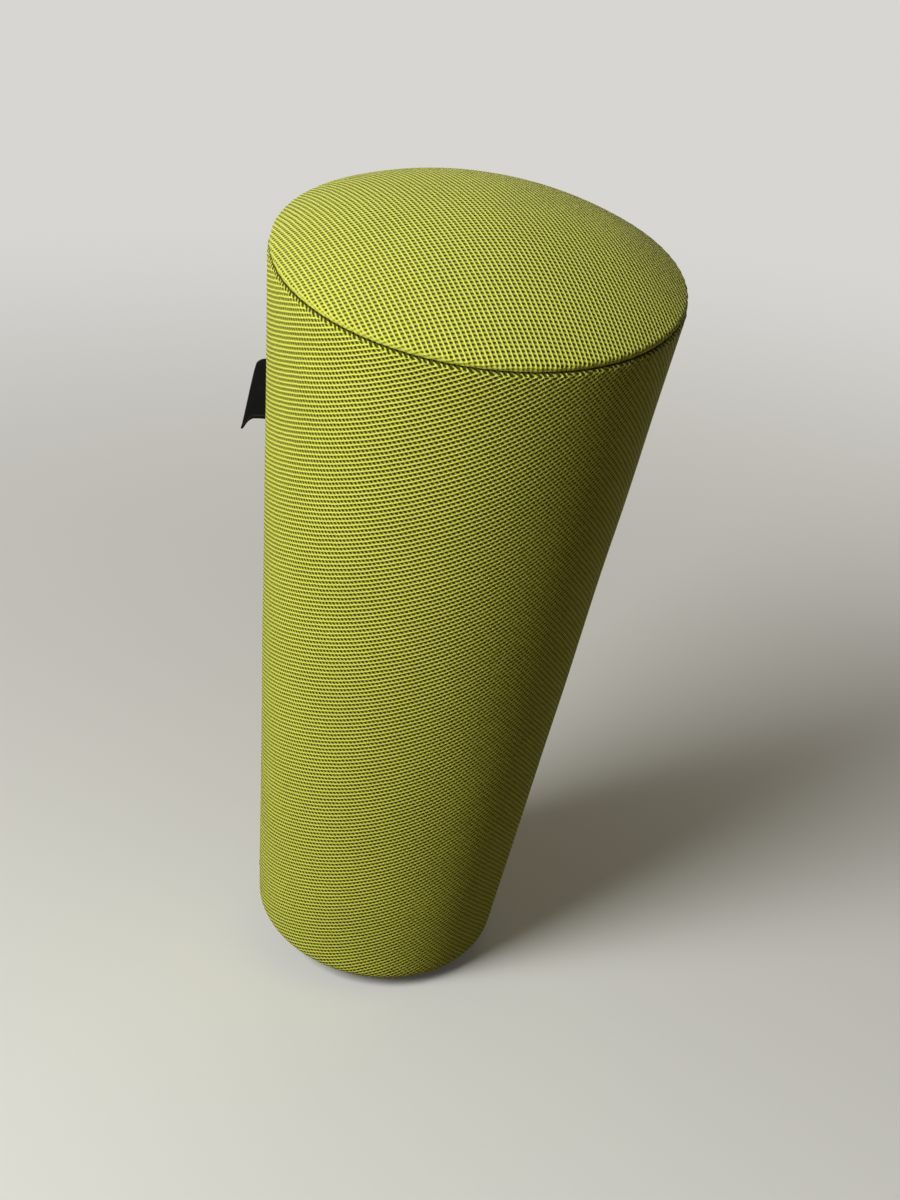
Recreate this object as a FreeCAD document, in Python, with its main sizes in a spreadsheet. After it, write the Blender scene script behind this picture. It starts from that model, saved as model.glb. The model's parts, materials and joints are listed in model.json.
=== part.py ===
import FreeCAD, Part
import math
import os
import re

import Sketcher

# A leaning stool: a padded cone that widens upwards, weighted at its foot, on a shallow cone of a sole.
# Left to itself it leans over until one straight line of that sole lies on the floor.
#
# Lengths are in millimetres and angles in degrees. The stool's axis meets the floor at the origin,
# +Z is up, and the stool leans towards +X. Every piece is modelled upright along its own axis,
# with the point of the sole's cone at the origin, and is then leaned over by its Placement.
# Pieces that belong to the zip seam are modelled with the seam towards +X and turned to their place.

SIZES = [
    ("lean_angle", 11, "slope of the sole, and so the lean of the resting stool"),
    ("seam_bearing", -125, "where the zip seam lies round the stool, from the leaning side"),
    ("top_diameter", 300, "widest diameter, at the seam round the seat"),
    ("bottom_diameter", 200, "diameter of the side where it would meet the hem plane"),
    ("side_height", 615, "from the hem's underside to the top of the side cover"),
    ("seat_rise", 47, "from the seam to the crown of the seat"),
    ("seat_inset", 4, "how far the seat cover's edge stays in from the side cover's"),
    ("seat_band", 5, "upright edge of the seat cover"),
    ("seat_edge_round", 4, "rounding between that edge and the crown"),
    ("seat_lip_round", 1.8, "rounding where the seat cover turns into the seam"),
    ("side_lip_round", 4, "rounding where the side cover turns into the seam"),
    ("hem_round", 12, "rounding where the side cover turns under"),
    ("cover_thickness", 3, "spacer fabric of both covers"),
    ("seam_gap", 0.3, "between the two turned-in edges at the seam"),
    ("seam_allowance", 9, "turned-in edge of both covers at the seam"),
    ("binding_thickness", 2, "tape sewn round the raw edges of the seam"),
    ("binding_clearance", 0.3, "between the raw edges and that tape"),
    ("fabric_gap", 0.3, "between a cover and what it is pulled over"),
    ("padding_thickness", 8, "foam wrapped round the shell"),
    ("padding_gap", 0.2, "between that foam and the shell"),
    ("shell_wall", 4, "wall of the moulded shell"),
    ("shell_rib_count", 8, "upright ribs inside the shell"),
    ("shell_rib_thickness", 3, "thickness of such a rib"),
    ("shell_rib_depth", 12, "how far such a rib stands in from the wall"),
    ("shell_rib_start", 60, "from the base board's top to the ribs' lower ends"),
    ("seat_foam_edge", 23, "depth of the seat foam below the top of the side cover"),
    ("seat_board_thickness", 15, "plywood under the seat foam"),
    ("seat_board_clearance", 1, "round the plywood, inside the shell"),
    ("ledge_width", 26, "ledge of the shell that carries the seat board"),
    ("seat_screw_count", 8, "screws through that ledge, between the ribs"),
    ("seat_screw_radius", 2.5, "shank of a seat screw"),
    ("seat_screw_head_radius", 5, "head of a seat screw"),
    ("seat_screw_head_height", 3, "height of that head"),
    ("seat_screw_bite", 10, "how far a seat screw goes into the board"),
    ("foot_flange_inner", 46, "inner radius of the shell's bottom flange"),
    ("base_board_thickness", 18, "plywood inside the foot of the shell"),
    ("base_board_clearance", 1, "round that plywood, inside the shell"),
    ("board_chamfer", 1, "chamfer on the plywood's edges"),
    ("ballast_radius", 75, "iron disc on the base board"),
    ("ballast_thickness", 15, "thickness of the iron disc"),
    ("ballast_chamfer", 2, "chamfer on its edges"),
    ("bolt_radius", 5, "shank of the bolt through the ballast"),
    ("bolt_head_width", 16, "across the flats of its head and nut"),
    ("bolt_head_height", 6.4, "height of its head"),
    ("nut_height", 8, "height of its nut"),
    ("bolt_tail", 2, "how far the bolt passes its nut"),
    ("bolt_clearance", 0.5, "round the bolt in the disc and the board"),
    ("washer_radius", 15, "washer under the bolt head"),
    ("washer_thickness", 2, "thickness of that washer"),
    ("thread_gap", 0.05, "round a shank in what it is screwed into"),
    ("hem_inner_radius", 71.6, "inner edge of the turned-under hem"),
    ("elastic_radius", 1.3, "round elastic inside the hem's edge"),
    ("sole_radius", 86, "outer radius of the sole"),
    ("sole_side_height", 9.3, "from the outer edge of the sole's flank up to the hem"),
    ("sole_thickness", 5, "rubber of the sole, square to its flank"),
    ("sole_wall", 4.3, "upright wall of the sole"),
    ("sole_gap", 0.2, "between the sole and its carrier"),
    ("sole_edge_round", 3, "rounding of the sole's outer edge"),
    ("sole_tip_radius", 100, "rounding at the point of the sole"),
    ("bead_depth", 1.5, "bead inside the sole's wall that snaps into its carrier"),
    ("bead_height", 1.6, "height of that bead"),
    ("bead_drop", 3.4, "from the hem plane down to that bead"),
    ("tread_ring_count", 6, "round grooves of the tread"),
    ("tread_first", 27, "inner radius of the first of them"),
    ("tread_pitch", 9, "from one tread groove to the next"),
    ("tread_width", 2.5, "width of a tread groove"),
    ("tread_depth", 1.2, "depth of a tread groove"),
    ("tread_cut_count", 12, "straight grooves across the rings of the tread"),
    ("carrier_wall", 4, "wall of the dish that the sole is pulled over"),
    ("carrier_rim_inner", 68, "inner radius of the dish's flat rim"),
    ("carrier_ring_radius", 66.5, "outer radius of the ring that bears on the shell"),
    ("carrier_ring_width", 2, "width of the dish's rings"),
    ("carrier_hub_radius", 20, "outer radius of the ring round the nut"),
    ("carrier_rib_count", 12, "ribs from that ring to the outer one"),
    ("carrier_rib_thickness", 2.5, "thickness of such a rib"),
    ("carrier_rib_drop", 2, "how far the ribs stay below the rings"),
    ("sole_screw_count", 6, "screws that hold the dish to the base board"),
    ("sole_screw_circle", 57, "radius of the circle that they stand on"),
    ("sole_screw_radius", 3, "shank of such a screw"),
    ("sole_screw_head_radius", 5.5, "its head"),
    ("sole_screw_head_height", 4, "height of that head"),
    ("sole_boss_radius", 8, "boss round such a screw"),
    ("head_clearance", 0.4, "round and above that head"),
    ("screw_clearance", 0.3, "round such a screw in the dish and the shell"),
    ("insert_radius", 4.6, "threaded insert in the base board"),
    ("insert_length", 13, "length of that insert"),
    ("zip_start", 16, "from the hem plane to the zip's lower end"),
    ("zip_label_gap", 17, "from the zip's upper end to the label"),
    ("slit_width", 11, "opening between the cover's edges along the zip"),
    ("slit_tail", 4, "how far that opening runs on below the zip"),
    ("edge_fold", 2.4, "cover folded under along that opening"),
    ("hem_split", 0.8, "gap between the hem's ends below the zip"),
    ("tape_drop", 0.2, "from the folded edges down to the zip's tape"),
    ("tape_thickness", 0.7, "thickness of that tape"),
    ("tape_reach", 10.5, "half the width of the two tapes together"),
    ("tape_split", 0.75, "half the gap between the two tapes"),
    ("teeth_reach", 3, "half the width of the closed teeth"),
    ("teeth_height", 2.4, "height of the teeth above the tape"),
    ("teeth_pitch", 3.2, "from one tooth to the next"),
    ("tooth_length", 1.8, "length of a tooth along the zip"),
    ("teeth_spine", 0.9, "width of the strip that the teeth stand on"),
    ("slider_length", 12, "length of the slider"),
    ("slider_width", 9.6, "width of the slider"),
    ("slider_tail_width", 8, "width of its narrow end"),
    ("slider_wing", 1.3, "thickness of its two wings"),
    ("slider_gap", 0.3, "between the slider and what it runs on"),
    ("slider_neck", 0.8, "thickness of the neck between the wings"),
    ("slider_neck_length", 5, "length of that neck"),
    ("slider_flange", 1.4, "thickness of its turned-down sides"),
    ("slider_flange_drop", 1.7, "how far those sides reach down"),
    ("lug_length", 5, "length of the lug that holds the pull"),
    ("lug_thickness", 1.8, "thickness of that lug"),
    ("lug_height", 2.7, "height of that lug"),
    ("lug_axis_height", 1.4, "from the upper wing up to the pull's axis"),
    ("pull_pin_radius", 0.6, "pin of the pull"),
    ("pull_pin_gap", 0.08, "round that pin in the lug"),
    ("pull_arm_gap", 0.4, "from the lug to the pull's arms"),
    ("pull_arm_width", 1.4, "width of those arms"),
    ("pull_arm_length", 4, "from the pin to the plate"),
    ("pull_thickness", 1.4, "thickness of the pull"),
    ("pull_plate_length", 8.5, "length of the pull's plate"),
    ("pull_hole_radius", 1.4, "hole at the plate's end"),
    ("stop_length", 3, "length of a stop at the zip's ends"),
    ("stop_overhang", 0.6, "how far a stop stands proud of the teeth"),
    ("padding_channel_slack", 0.8, "round the slider in the padding"),
    ("label_drop", 98, "from the top of the side cover down to the label"),
    ("label_height", 50, "height of the label along the seam"),
    ("label_top_reach", 7.5, "how far its upper end stands out"),
    ("label_top_slope", 3.5, "how far its upper corner lies below its root"),
    ("label_bottom_reach", 18, "how far its lower end stands out"),
    ("label_sweep", 11, "where its lower edge starts to hang down"),
    ("label_droop", 9, "how far its lower corner hangs below its root"),
    ("label_thickness", 1.6, "both layers of the folded label"),
    ("label_root", 2, "how deep the label is set into the seam"),
    ("label_slot_gap", 0.2, "round the label in the seam"),
    ("seam_groove_width", 1.2, "sewn seam above the zip"),
    ("seam_groove_depth", 1, "depth of that seam"),
]

# Worked out in the sheet from the sizes above.
WORKED_OUT = [
    ("hem_level", "=sole_radius * tan(lean_angle * 1deg) + sole_side_height",
     "underside of the hem above the point of the sole's cone"),
]

# Levels and radii that several pieces share, as expressions on the sheet's names.
TOP_RADIUS = "top_diameter / 2"
BOTTOM_RADIUS = "bottom_diameter / 2"
SEAT_RADIUS = "(top_diameter / 2 - seat_inset)"
SIDE_TOP = "(hem_level + side_height)"
SEAM = "(hem_level + side_height + seam_gap)"
SEAT_LIP_TOP = f"({SEAM} + seat_band / 2)"
CROWN = "(hem_level + side_height + seat_rise)"
HEM_TOP = "(hem_level + cover_thickness)"
SHELL_BOTTOM = "(hem_level + cover_thickness + fabric_gap)"
BASE_BOARD_BOTTOM = "(hem_level + cover_thickness + fabric_gap + shell_wall)"
BASE_BOARD_TOP = f"({BASE_BOARD_BOTTOM} + base_board_thickness)"
BALLAST_TOP = f"({BASE_BOARD_TOP} + ballast_thickness)"
WASHER_TOP = f"({BALLAST_TOP} + washer_thickness)"
SHELL_TOP = f"({SIDE_TOP} - seat_foam_edge)"
SEAT_BOARD_BOTTOM = f"({SHELL_TOP} - seat_board_thickness)"
LEDGE_BOTTOM = f"({SEAT_BOARD_BOTTOM} - shell_wall)"
FOAM_BOTTOM = f"({SHELL_TOP} + fabric_gap)"
CARRIER_RADIUS = "(sole_radius - sole_wall - sole_gap)"
BETWEEN_RIBS = "(180 / shell_rib_count)"
SLOPE = "tan(lean_angle * 1deg)"
TIP_EDGE = "(sole_tip_radius * sin(lean_angle * 1deg))"
SOLE_RISE = "(sole_thickness / cos(lean_angle * 1deg))"
CARRIER_RISE = f"({SOLE_RISE} + sole_gap)"
DISH_RISE = f"({CARRIER_RISE} + carrier_wall / cos(lean_angle * 1deg))"
ZIP_BOTTOM = "(hem_level + zip_start)"
SLIT_BOTTOM = "(hem_level + zip_start - slit_tail)"
LABEL_LOW = "(hem_level + side_height - label_drop - label_height)"
LABEL_HIGH = "(hem_level + side_height - label_drop)"
ZIP_TOP = f"({LABEL_LOW} - zip_label_gap)"
ZIP_LENGTH = f"({ZIP_TOP} - {ZIP_BOTTOM})"
ZIP_LAST = f"({ZIP_LENGTH} - stop_length)"
WALL_INSET = "(cover_thickness + fabric_gap + padding_thickness + padding_gap + shell_wall)"

# Underside of a sole screw's head seat: the head just clears the slope of the dish at its outer edge.
SOLE_SCREW_SEAT = (f"((sole_screw_circle + sole_screw_head_radius) * {SLOPE} + {CARRIER_RISE}"
                   " + sole_screw_head_height + head_clearance)")

# Levels along the zip's own outward axis, from the cover's outer face inwards.
TAPE_FACE = "(-cover_thickness - edge_fold - tape_drop)"
TAPE_BACK = f"({TAPE_FACE} - tape_thickness)"
TEETH_FACE = f"({TAPE_FACE} + teeth_height)"
STOP_FACE = f"({TEETH_FACE} + stop_overhang)"
UPPER_WING = f"({TEETH_FACE} + slider_gap)"
UPPER_WING_TOP = f"({UPPER_WING} + slider_wing)"
LOWER_WING = f"({TAPE_BACK} - slider_gap - slider_wing)"
PULL_AXIS = f"({UPPER_WING_TOP} + lug_axis_height)"
SLIDER_START = "(stop_length + slider_gap)"

doc = FreeCAD.newDocument("LeaningStool")
sheet = doc.addObject("Spreadsheet::Sheet", "Sizes")
pieces = {}


def fill_sheet():
    """Write every size into the sheet, with its name and meaning."""
    for row, (alias, value, meaning) in enumerate(SIZES + WORKED_OUT, start=1):
        sheet.set(f"A{row}", alias)
        sheet.set(f"B{row}", str(value))
        sheet.set(f"C{row}", meaning)
        sheet.setAlias(f"B{row}", alias)
    doc.recompute()


NAMES = sorted((row[0] for row in SIZES + WORKED_OUT), key=len, reverse=True)
ALIAS = re.compile(r"\b(" + "|".join(NAMES) + r")\b")


def bound(text):
    """The same expression, with each size's name pointing into the sheet."""
    return ALIAS.sub(r"Sizes.\1", text)


def number(text):
    """The present value of an expression on the sheet's names."""
    result = sheet.evalExpression(text)
    return float(getattr(result, "Value", result))


def side_radius(level):
    """Radius of the side cover's outer face at a level."""
    slope = f"({TOP_RADIUS} - {BOTTOM_RADIUS}) / side_height"
    return f"({BOTTOM_RADIUS} + {slope} * ({level} - hem_level))"


def seat_screw_circle():
    """Radius of the circle that the seat screws stand on, in the middle of the ledge."""
    return f"({side_radius(LEDGE_BOTTOM)} - {WALL_INSET} - ledge_width / 2)"


def crown_radius():
    """Radius of the sphere that the seat's crown is part of."""
    drop = "(seat_rise - seam_gap - seat_band)"
    return f"(({SEAT_RADIUS} ^ 2 + {drop} ^ 2) / (2 * {drop}))"


def crown_level(inset, radius):
    """Level of the crown, moved in by inset, at a distance from the axis."""
    centre = f"({CROWN} - {crown_radius()})"
    return f"({centre} + sqrt(({crown_radius()} - {inset}) ^ 2 - ({radius}) ^ 2))"


# ---------------------------------------------------------------- placements

def stance():
    """Leans an upright piece over onto the flank of the sole."""
    return FreeCAD.Placement(
        FreeCAD.Vector(), FreeCAD.Rotation(FreeCAD.Vector(0, 1, 0), number("lean_angle")))


def seam_stance():
    """Turns a piece modelled with the zip seam towards +X to the seam's bearing, and leans it."""
    turn = FreeCAD.Rotation(FreeCAD.Vector(0, 0, 1), number("seam_bearing"))
    return stance().multiply(FreeCAD.Placement(FreeCAD.Vector(), turn))


def zip_stance(along=0, out=0):
    """Puts a piece on the seam: X out of the cover, Z up along it, from the zip's lower end."""
    start = FreeCAD.Vector(number(side_radius(ZIP_BOTTOM)), 0, number(ZIP_BOTTOM))
    tilt = math.degrees(math.atan2(number(f"{TOP_RADIUS} - {BOTTOM_RADIUS}"), number("side_height")))
    on_cover = FreeCAD.Placement(start, FreeCAD.Rotation(FreeCAD.Vector(0, 1, 0), tilt))
    shift = FreeCAD.Placement(FreeCAD.Vector(out, 0, along), FreeCAD.Rotation())
    return seam_stance().multiply(on_cover).multiply(shift)


# ---------------------------------------------------------------- modelling helpers

def new_body(label, placement):
    """An empty body for one piece of the stool."""
    body = doc.addObject("PartDesign::Body", label)
    body.Label = label
    body.AllowCompound = True
    body.Placement = placement
    pieces[label] = body
    return body


def origin_item(body, role):
    """One of the body's own planes or axes."""
    return next(item for item in body.Origin.OriginFeatures if item.Role == role)


def new_sketch(body, name, plane, offset="0", turn="0"):
    """A sketch on one of the body's own planes, moved along its normal and turned about the upright."""
    sketch = body.newObject("Sketcher::SketchObject", name)
    sketch.AttachmentSupport = [(origin_item(body, plane), "")]
    sketch.MapMode = "FlatFace"
    if turn != "0":
        upright = FreeCAD.Vector(0, 0, 1) if plane == "XY_Plane" else FreeCAD.Vector(0, 1, 0)
        sketch.AttachmentOffset = FreeCAD.Placement(
            FreeCAD.Vector(), FreeCAD.Rotation(upright, number(turn)))
        sketch.setExpression("AttachmentOffset.Rotation.Angle", bound(turn))
    if offset != "0":
        sketch.setExpression("AttachmentOffset.Base.z", bound(offset))
    return sketch


def fix_point(sketch, geometry, end, across, up):
    """Hold a sketch point at a pair of expressions."""
    for kind, axis, text in (("DistanceX", -2, across), ("DistanceY", -1, up)):
        if text == "0":
            sketch.addConstraint(Sketcher.Constraint("PointOnObject", geometry, end, axis))
            continue
        index = sketch.addConstraint(Sketcher.Constraint(kind, -1, 1, geometry, end, number(text)))
        sketch.setExpression(f"Constraints[{index}]", bound(text))


def crown_arc(start, end):
    """An arc centred on the sketch's upright axis, and which of its ends is the start."""
    centre = (end[0] ** 2 + end[1] ** 2 - start[0] ** 2 - start[1] ** 2) / (2 * (end[1] - start[1]))
    middle = FreeCAD.Vector(0, centre, 0)
    radius = math.hypot(start[0], start[1] - centre)
    angles = [math.atan2(point[1] - centre, point[0]) for point in (start, end)]
    swapped = math.sin(angles[1] - angles[0]) < 0
    if swapped:
        angles.reverse()
    circle = Part.Circle(middle, FreeCAD.Vector(0, 0, 1), radius)
    return Part.ArcOfCircle(circle, angles[0], angles[1]), swapped


def add_outline(sketch, points, arcs=()):
    """Close an outline through points given as expressions. The sides in arcs are centred on the axis."""
    places = [(number(across), number(up)) for across, up in points]
    first = sketch.GeometryCount
    ends = []
    for index, start in enumerate(places):
        end = places[(index + 1) % len(places)]
        if index in arcs:
            arc, swapped = crown_arc(start, end)
            geometry = sketch.addGeometry(arc, False)
            sketch.addConstraint(Sketcher.Constraint("PointOnObject", geometry, 3, -2))
            ends.append((2, 1) if swapped else (1, 2))
        else:
            line = Part.LineSegment(FreeCAD.Vector(*start, 0), FreeCAD.Vector(*end, 0))
            sketch.addGeometry(line, False)
            ends.append((1, 2))
    for index, (begin, finish) in enumerate(ends):
        following = (index + 1) % len(ends)
        sketch.addConstraint(Sketcher.Constraint(
            "Coincident", first + index, finish, first + following, ends[following][0]))
    for index, (across, up) in enumerate(points):
        fix_point(sketch, first + index, ends[index][0], across, up)


def add_circle(sketch, across, radius, up="0"):
    """A circle with its centre and radius given as expressions."""
    centre = FreeCAD.Vector(number(across), number(up), 0)
    circle = Part.Circle(centre, FreeCAD.Vector(0, 0, 1), number(radius))
    geometry = sketch.addGeometry(circle, False)
    fix_point(sketch, geometry, 3, across, up)
    index = sketch.addConstraint(Sketcher.Constraint("Radius", geometry, number(radius)))
    sketch.setExpression(f"Constraints[{index}]", bound(radius))


def add_hexagon(sketch, width):
    """A hexagon round the origin, given its width across flats."""
    corner = f"({width} / sqrt(3))"
    half = f"({width} / 2)"
    add_outline(sketch, [
        (corner, "0"), (f"{corner} / 2", half), (f"-{corner} / 2", half),
        (f"-{corner}", "0"), (f"-{corner} / 2", f"-{half}"), (f"{corner} / 2", f"-{half}")])


def turned(body, name, points, arcs=()):
    """Turn an outline, drawn beside the axis, all the way round it."""
    sketch = new_sketch(body, name + "_outline", "XZ_Plane")
    add_outline(sketch, points, arcs)
    feature = body.newObject("PartDesign::Revolution", name)
    feature.Profile = sketch
    feature.ReferenceAxis = (sketch, ["V_Axis"])
    feature.Angle = 360
    doc.recompute()
    return feature


def solid_volume(body):
    """Volume of the body as it stands."""
    return body.Shape.Volume if body.Tip else 0


def extruded(body, kind, name, sketch, length, symmetric=False, reverse=False):
    """Pad or pocket a sketch, and check that it changed the solid."""
    before = solid_volume(body)
    feature = body.newObject("PartDesign::" + kind, name)
    feature.Profile = sketch
    feature.Midplane = symmetric
    feature.Reversed = reverse
    feature.setExpression("Length", bound(length))
    doc.recompute()
    if abs(body.Shape.Volume - before) < 1e-6:
        raise RuntimeError(f"{body.Label}: {name} changes nothing")
    return feature


def disc(body, name, radius, bottom, top, across="0", turn="0"):
    """Pad a round disc between two levels."""
    sketch = new_sketch(body, name + "_circle", "XY_Plane", bottom, turn)
    add_circle(sketch, across, radius)
    return extruded(body, "Pad", name, sketch, f"{top} - {bottom}")


def drilled(body, name, radius, bottom, top, across="0", turn="0"):
    """Cut a round hole down from one level to another."""
    sketch = new_sketch(body, name + "_circle", "XY_Plane", top, turn)
    add_circle(sketch, across, radius)
    return extruded(body, "Pocket", name, sketch, f"{top} - {bottom}")


def slab(body, name, points, low, high, kind="Pad"):
    """Pad or cut an outline drawn across and along the zip, between two depths of the cover."""
    start = low if kind == "Pad" else high
    sketch = new_sketch(body, name + "_outline", "YZ_Plane", start)
    add_outline(sketch, points)
    return extruded(body, kind, name, sketch, f"{high} - {low}")


def box_points(left, right, low, high):
    """Corners of an upright rectangle."""
    return [(left, low), (right, low), (right, high), (left, high)]


def patterned(body, name, features, count):
    """Repeat features evenly round the upright axis."""
    pattern = body.newObject("PartDesign::PolarPattern", name)
    pattern.Originals = features
    pattern.Axis = (origin_item(body, "Z_Axis"), [""])
    pattern.Angle = 360
    pattern.setExpression("Occurrences", bound(count))
    body.Tip = pattern
    doc.recompute()
    return pattern


def ring_edges(shape, rings):
    """Names of the round edges with these radii and levels."""
    wanted = [(number(radius), number(level)) for radius, level in rings]
    names = []
    for index, edge in enumerate(shape.Edges, start=1):
        if edge.Degenerated or not isinstance(edge.Curve, Part.Circle):
            continue
        here = (edge.Curve.Radius, edge.Curve.Center.z)
        if any(math.hypot(here[0] - radius, here[1] - level) < 1e-4 for radius, level in wanted):
            names.append(f"Edge{index}")
    if len(names) < len(rings):
        raise RuntimeError(f"only {len(names)} of {len(rings)} edges found")
    return names


def eased(body, name, rings, size, kind="Fillet"):
    """Round or chamfer the ring edges named by radius and level."""
    base = body.Tip
    feature = body.newObject("PartDesign::" + kind, name)
    feature.Base = (base, ring_edges(base.Shape, rings))
    feature.setExpression("Radius" if kind == "Fillet" else "Size", bound(size))
    doc.recompute()
    return feature


def seam_strip(bottom, top, inside, outside):
    """A strip of the side's section between two levels, from inside to outside of the cover's face."""
    return [
        (f"{side_radius(bottom)} - ({inside})", bottom), (f"{side_radius(bottom)} + ({outside})", bottom),
        (f"{side_radius(top)} + ({outside})", top), (f"{side_radius(top)} - ({inside})", top)]


def seam_cut(body, name, strip, width):
    """Cut a strip of the side's section, centred on the zip seam."""
    sketch = new_sketch(body, name + "_strip", "XZ_Plane")
    add_outline(sketch, strip)
    return extruded(body, "Pocket", name, sketch, width, symmetric=True)


# ---------------------------------------------------------------- covers

def make_top_cover():
    """Domed seat cover with a rounded edge that turns into the seam."""
    body = new_body("top_cover", stance())
    inner = f"({SEAT_RADIUS} - cover_thickness)"
    root = f"({TOP_RADIUS} - seam_allowance)"
    turned(body, "seat_skin", [
        ("0", CROWN), (SEAT_RADIUS, f"({SEAM} + seat_band)"), (SEAT_RADIUS, SEAM), (root, SEAM),
        (root, SEAT_LIP_TOP), (inner, SEAT_LIP_TOP),
        (inner, crown_level("cover_thickness", inner)), ("0", f"({CROWN} - cover_thickness)")], arcs=(0, 6))
    eased(body, "seat_edge", [(SEAT_RADIUS, f"({SEAM} + seat_band)")], "seat_edge_round")
    eased(body, "seat_lip", [(SEAT_RADIUS, SEAM)], "seat_lip_round")


def make_side_cover():
    """Tapered side cover, turned in at the seam, turned under at the hem and slit for the zip."""
    body = new_body("side_cover", seam_stance())
    root = f"({TOP_RADIUS} - seam_allowance)"
    lip = f"({SIDE_TOP} - cover_thickness)"
    lip_corner = f"({side_radius(lip)} - cover_thickness)"
    hem_corner = f"({side_radius(HEM_TOP)} - cover_thickness)"
    turned(body, "side_skin", [
        (BOTTOM_RADIUS, "hem_level"), (TOP_RADIUS, SIDE_TOP), (root, SIDE_TOP), (root, lip),
        (lip_corner, lip), (hem_corner, HEM_TOP), ("hem_inner_radius", HEM_TOP),
        ("hem_inner_radius", "hem_level")])
    eased(body, "hem_curl", [(BOTTOM_RADIUS, "hem_level")], "hem_round")
    eased(body, "hem_curl_inside", [(hem_corner, HEM_TOP)], "hem_round - cover_thickness")
    eased(body, "side_lip", [(TOP_RADIUS, SIDE_TOP)], "side_lip_round")
    folds = new_sketch(body, "edge_folds_strip", "XZ_Plane")
    add_outline(folds, seam_strip(
        SLIT_BOTTOM, ZIP_TOP, "cover_thickness + edge_fold", "-cover_thickness / 2"))
    extruded(body, "Pad", "edge_folds", folds, "2 * tape_reach", symmetric=True)
    seam_cut(body, "zip_slit", seam_strip(
        SLIT_BOTTOM, ZIP_TOP, "cover_thickness + 2 * edge_fold", "cover_thickness"), "slit_width")
    seam_cut(body, "hem_slit", [
        ("hem_inner_radius / 2", "hem_level / 2"), ("bottom_diameter", "hem_level / 2"),
        ("bottom_diameter", SLIT_BOTTOM), ("hem_inner_radius / 2", SLIT_BOTTOM)], "hem_split")
    seam_cut(body, "sewn_seam", seam_strip(ZIP_TOP, SIDE_TOP, "seam_groove_depth", "cover_thickness"),
             "seam_groove_width")
    slot = seam_strip(f"({LABEL_LOW} - label_slot_gap)", f"({LABEL_HIGH} + label_slot_gap)",
                      "label_root + label_slot_gap", "cover_thickness")
    seam_cut(body, "label_slot", slot, "label_thickness + 2 * label_slot_gap")


def make_seam_binding():
    """Tape sewn round the raw edges of both covers inside the seam."""
    body = new_body("seam_binding", stance())
    outer = f"({TOP_RADIUS} - seam_allowance - binding_clearance)"
    turned(body, "binding", box_points(
        f"({outer} - binding_thickness)", outer, f"({SIDE_TOP} - cover_thickness)", SEAT_LIP_TOP))


def make_hem_elastic():
    """Round elastic that gathers the hem under the shell."""
    ring = doc.addObject("Part::Torus", "hem_elastic")
    ring.Label = "hem_elastic"
    ring.setExpression("Radius1", bound("hem_inner_radius - fabric_gap - elastic_radius"))
    ring.setExpression("Radius2", bound("elastic_radius"))
    level = number("hem_level + fabric_gap + elastic_radius")
    ring.Placement = stance().multiply(
        FreeCAD.Placement(FreeCAD.Vector(0, 0, level), FreeCAD.Rotation()))
    pieces["hem_elastic"] = ring


def make_flag_label():
    """Folded cloth label that stands out of the seam and droops at its free edge."""
    body = new_body("flag_label", seam_stance())
    low = side_radius(LABEL_LOW)
    high = side_radius(LABEL_HIGH)
    sketch = new_sketch(body, "label_outline", "XZ_Plane")
    add_outline(sketch, [
        (f"{low} - label_root", LABEL_LOW), (f"{low} + label_sweep", LABEL_LOW),
        (f"{low} + label_bottom_reach", f"({LABEL_LOW} - label_droop)"),
        (f"{high} + label_top_reach", f"({LABEL_HIGH} - label_top_slope)"),
        (high, LABEL_HIGH), (f"{high} - label_root", LABEL_HIGH)])
    extruded(body, "Pad", "label_cloth", sketch, "label_thickness", symmetric=True)


# ---------------------------------------------------------------- zip

def make_zip_tape(label, side):
    """One of the two woven tapes under the cover's edges."""
    body = new_body(label, zip_stance())
    near = f"{side} * tape_split"
    far = f"{side} * tape_reach"
    slab(body, "tape", box_points(near, far, "0", ZIP_LENGTH), TAPE_BACK, TAPE_FACE)


def make_zip_teeth(label, side):
    """One row of teeth on its strip. The comb has one outline, which a loop draws."""
    inner = number("tape_split")
    spine = number("teeth_reach - teeth_spine")
    outer = number("teeth_reach")
    pitch = number("teeth_pitch")
    length = number("tooth_length")
    start = number("stop_length")
    end = number(ZIP_LAST)
    count = int((end - start - length) / pitch) + 1
    comb = [(outer, end), (outer, start)]
    for index in range(count):
        low = start + index * pitch
        comb += [(inner, low), (inner, low + length)]
        if index < count - 1:
            comb += [(spine, low + length), (spine, low + pitch)]
    comb += [(spine, start + (count - 1) * pitch + length), (spine, end)]
    depth = number(TAPE_FACE)
    corners = [FreeCAD.Vector(depth, side * across, along) for across, along in comb]
    face = Part.Face(Part.makePolygon(corners + corners[:1]))
    row = doc.addObject("Part::Feature", label)
    row.Label = label
    row.Shape = face.extrude(FreeCAD.Vector(number("teeth_height"), 0, 0))
    row.Placement = zip_stance()
    pieces[label] = row


def make_zip_top_stop():
    """Metal stop across the upper end of the zip."""
    body = new_body("zip_top_stop", zip_stance())
    bar = box_points("-teeth_reach", "teeth_reach", ZIP_LAST, ZIP_LENGTH)
    slab(body, "bar", bar, TAPE_FACE, STOP_FACE)


def make_zip_bottom_stops():
    """Metal stop on each tape at the lower end of the zip."""
    body = new_body("zip_bottom_stops", zip_stance())
    for name, near, far in (("left_clip", "-teeth_reach", "-tape_split"),
                            ("right_clip", "tape_split", "teeth_reach")):
        slab(body, name, box_points(near, far, "0", "stop_length"), TAPE_FACE, STOP_FACE)


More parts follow.
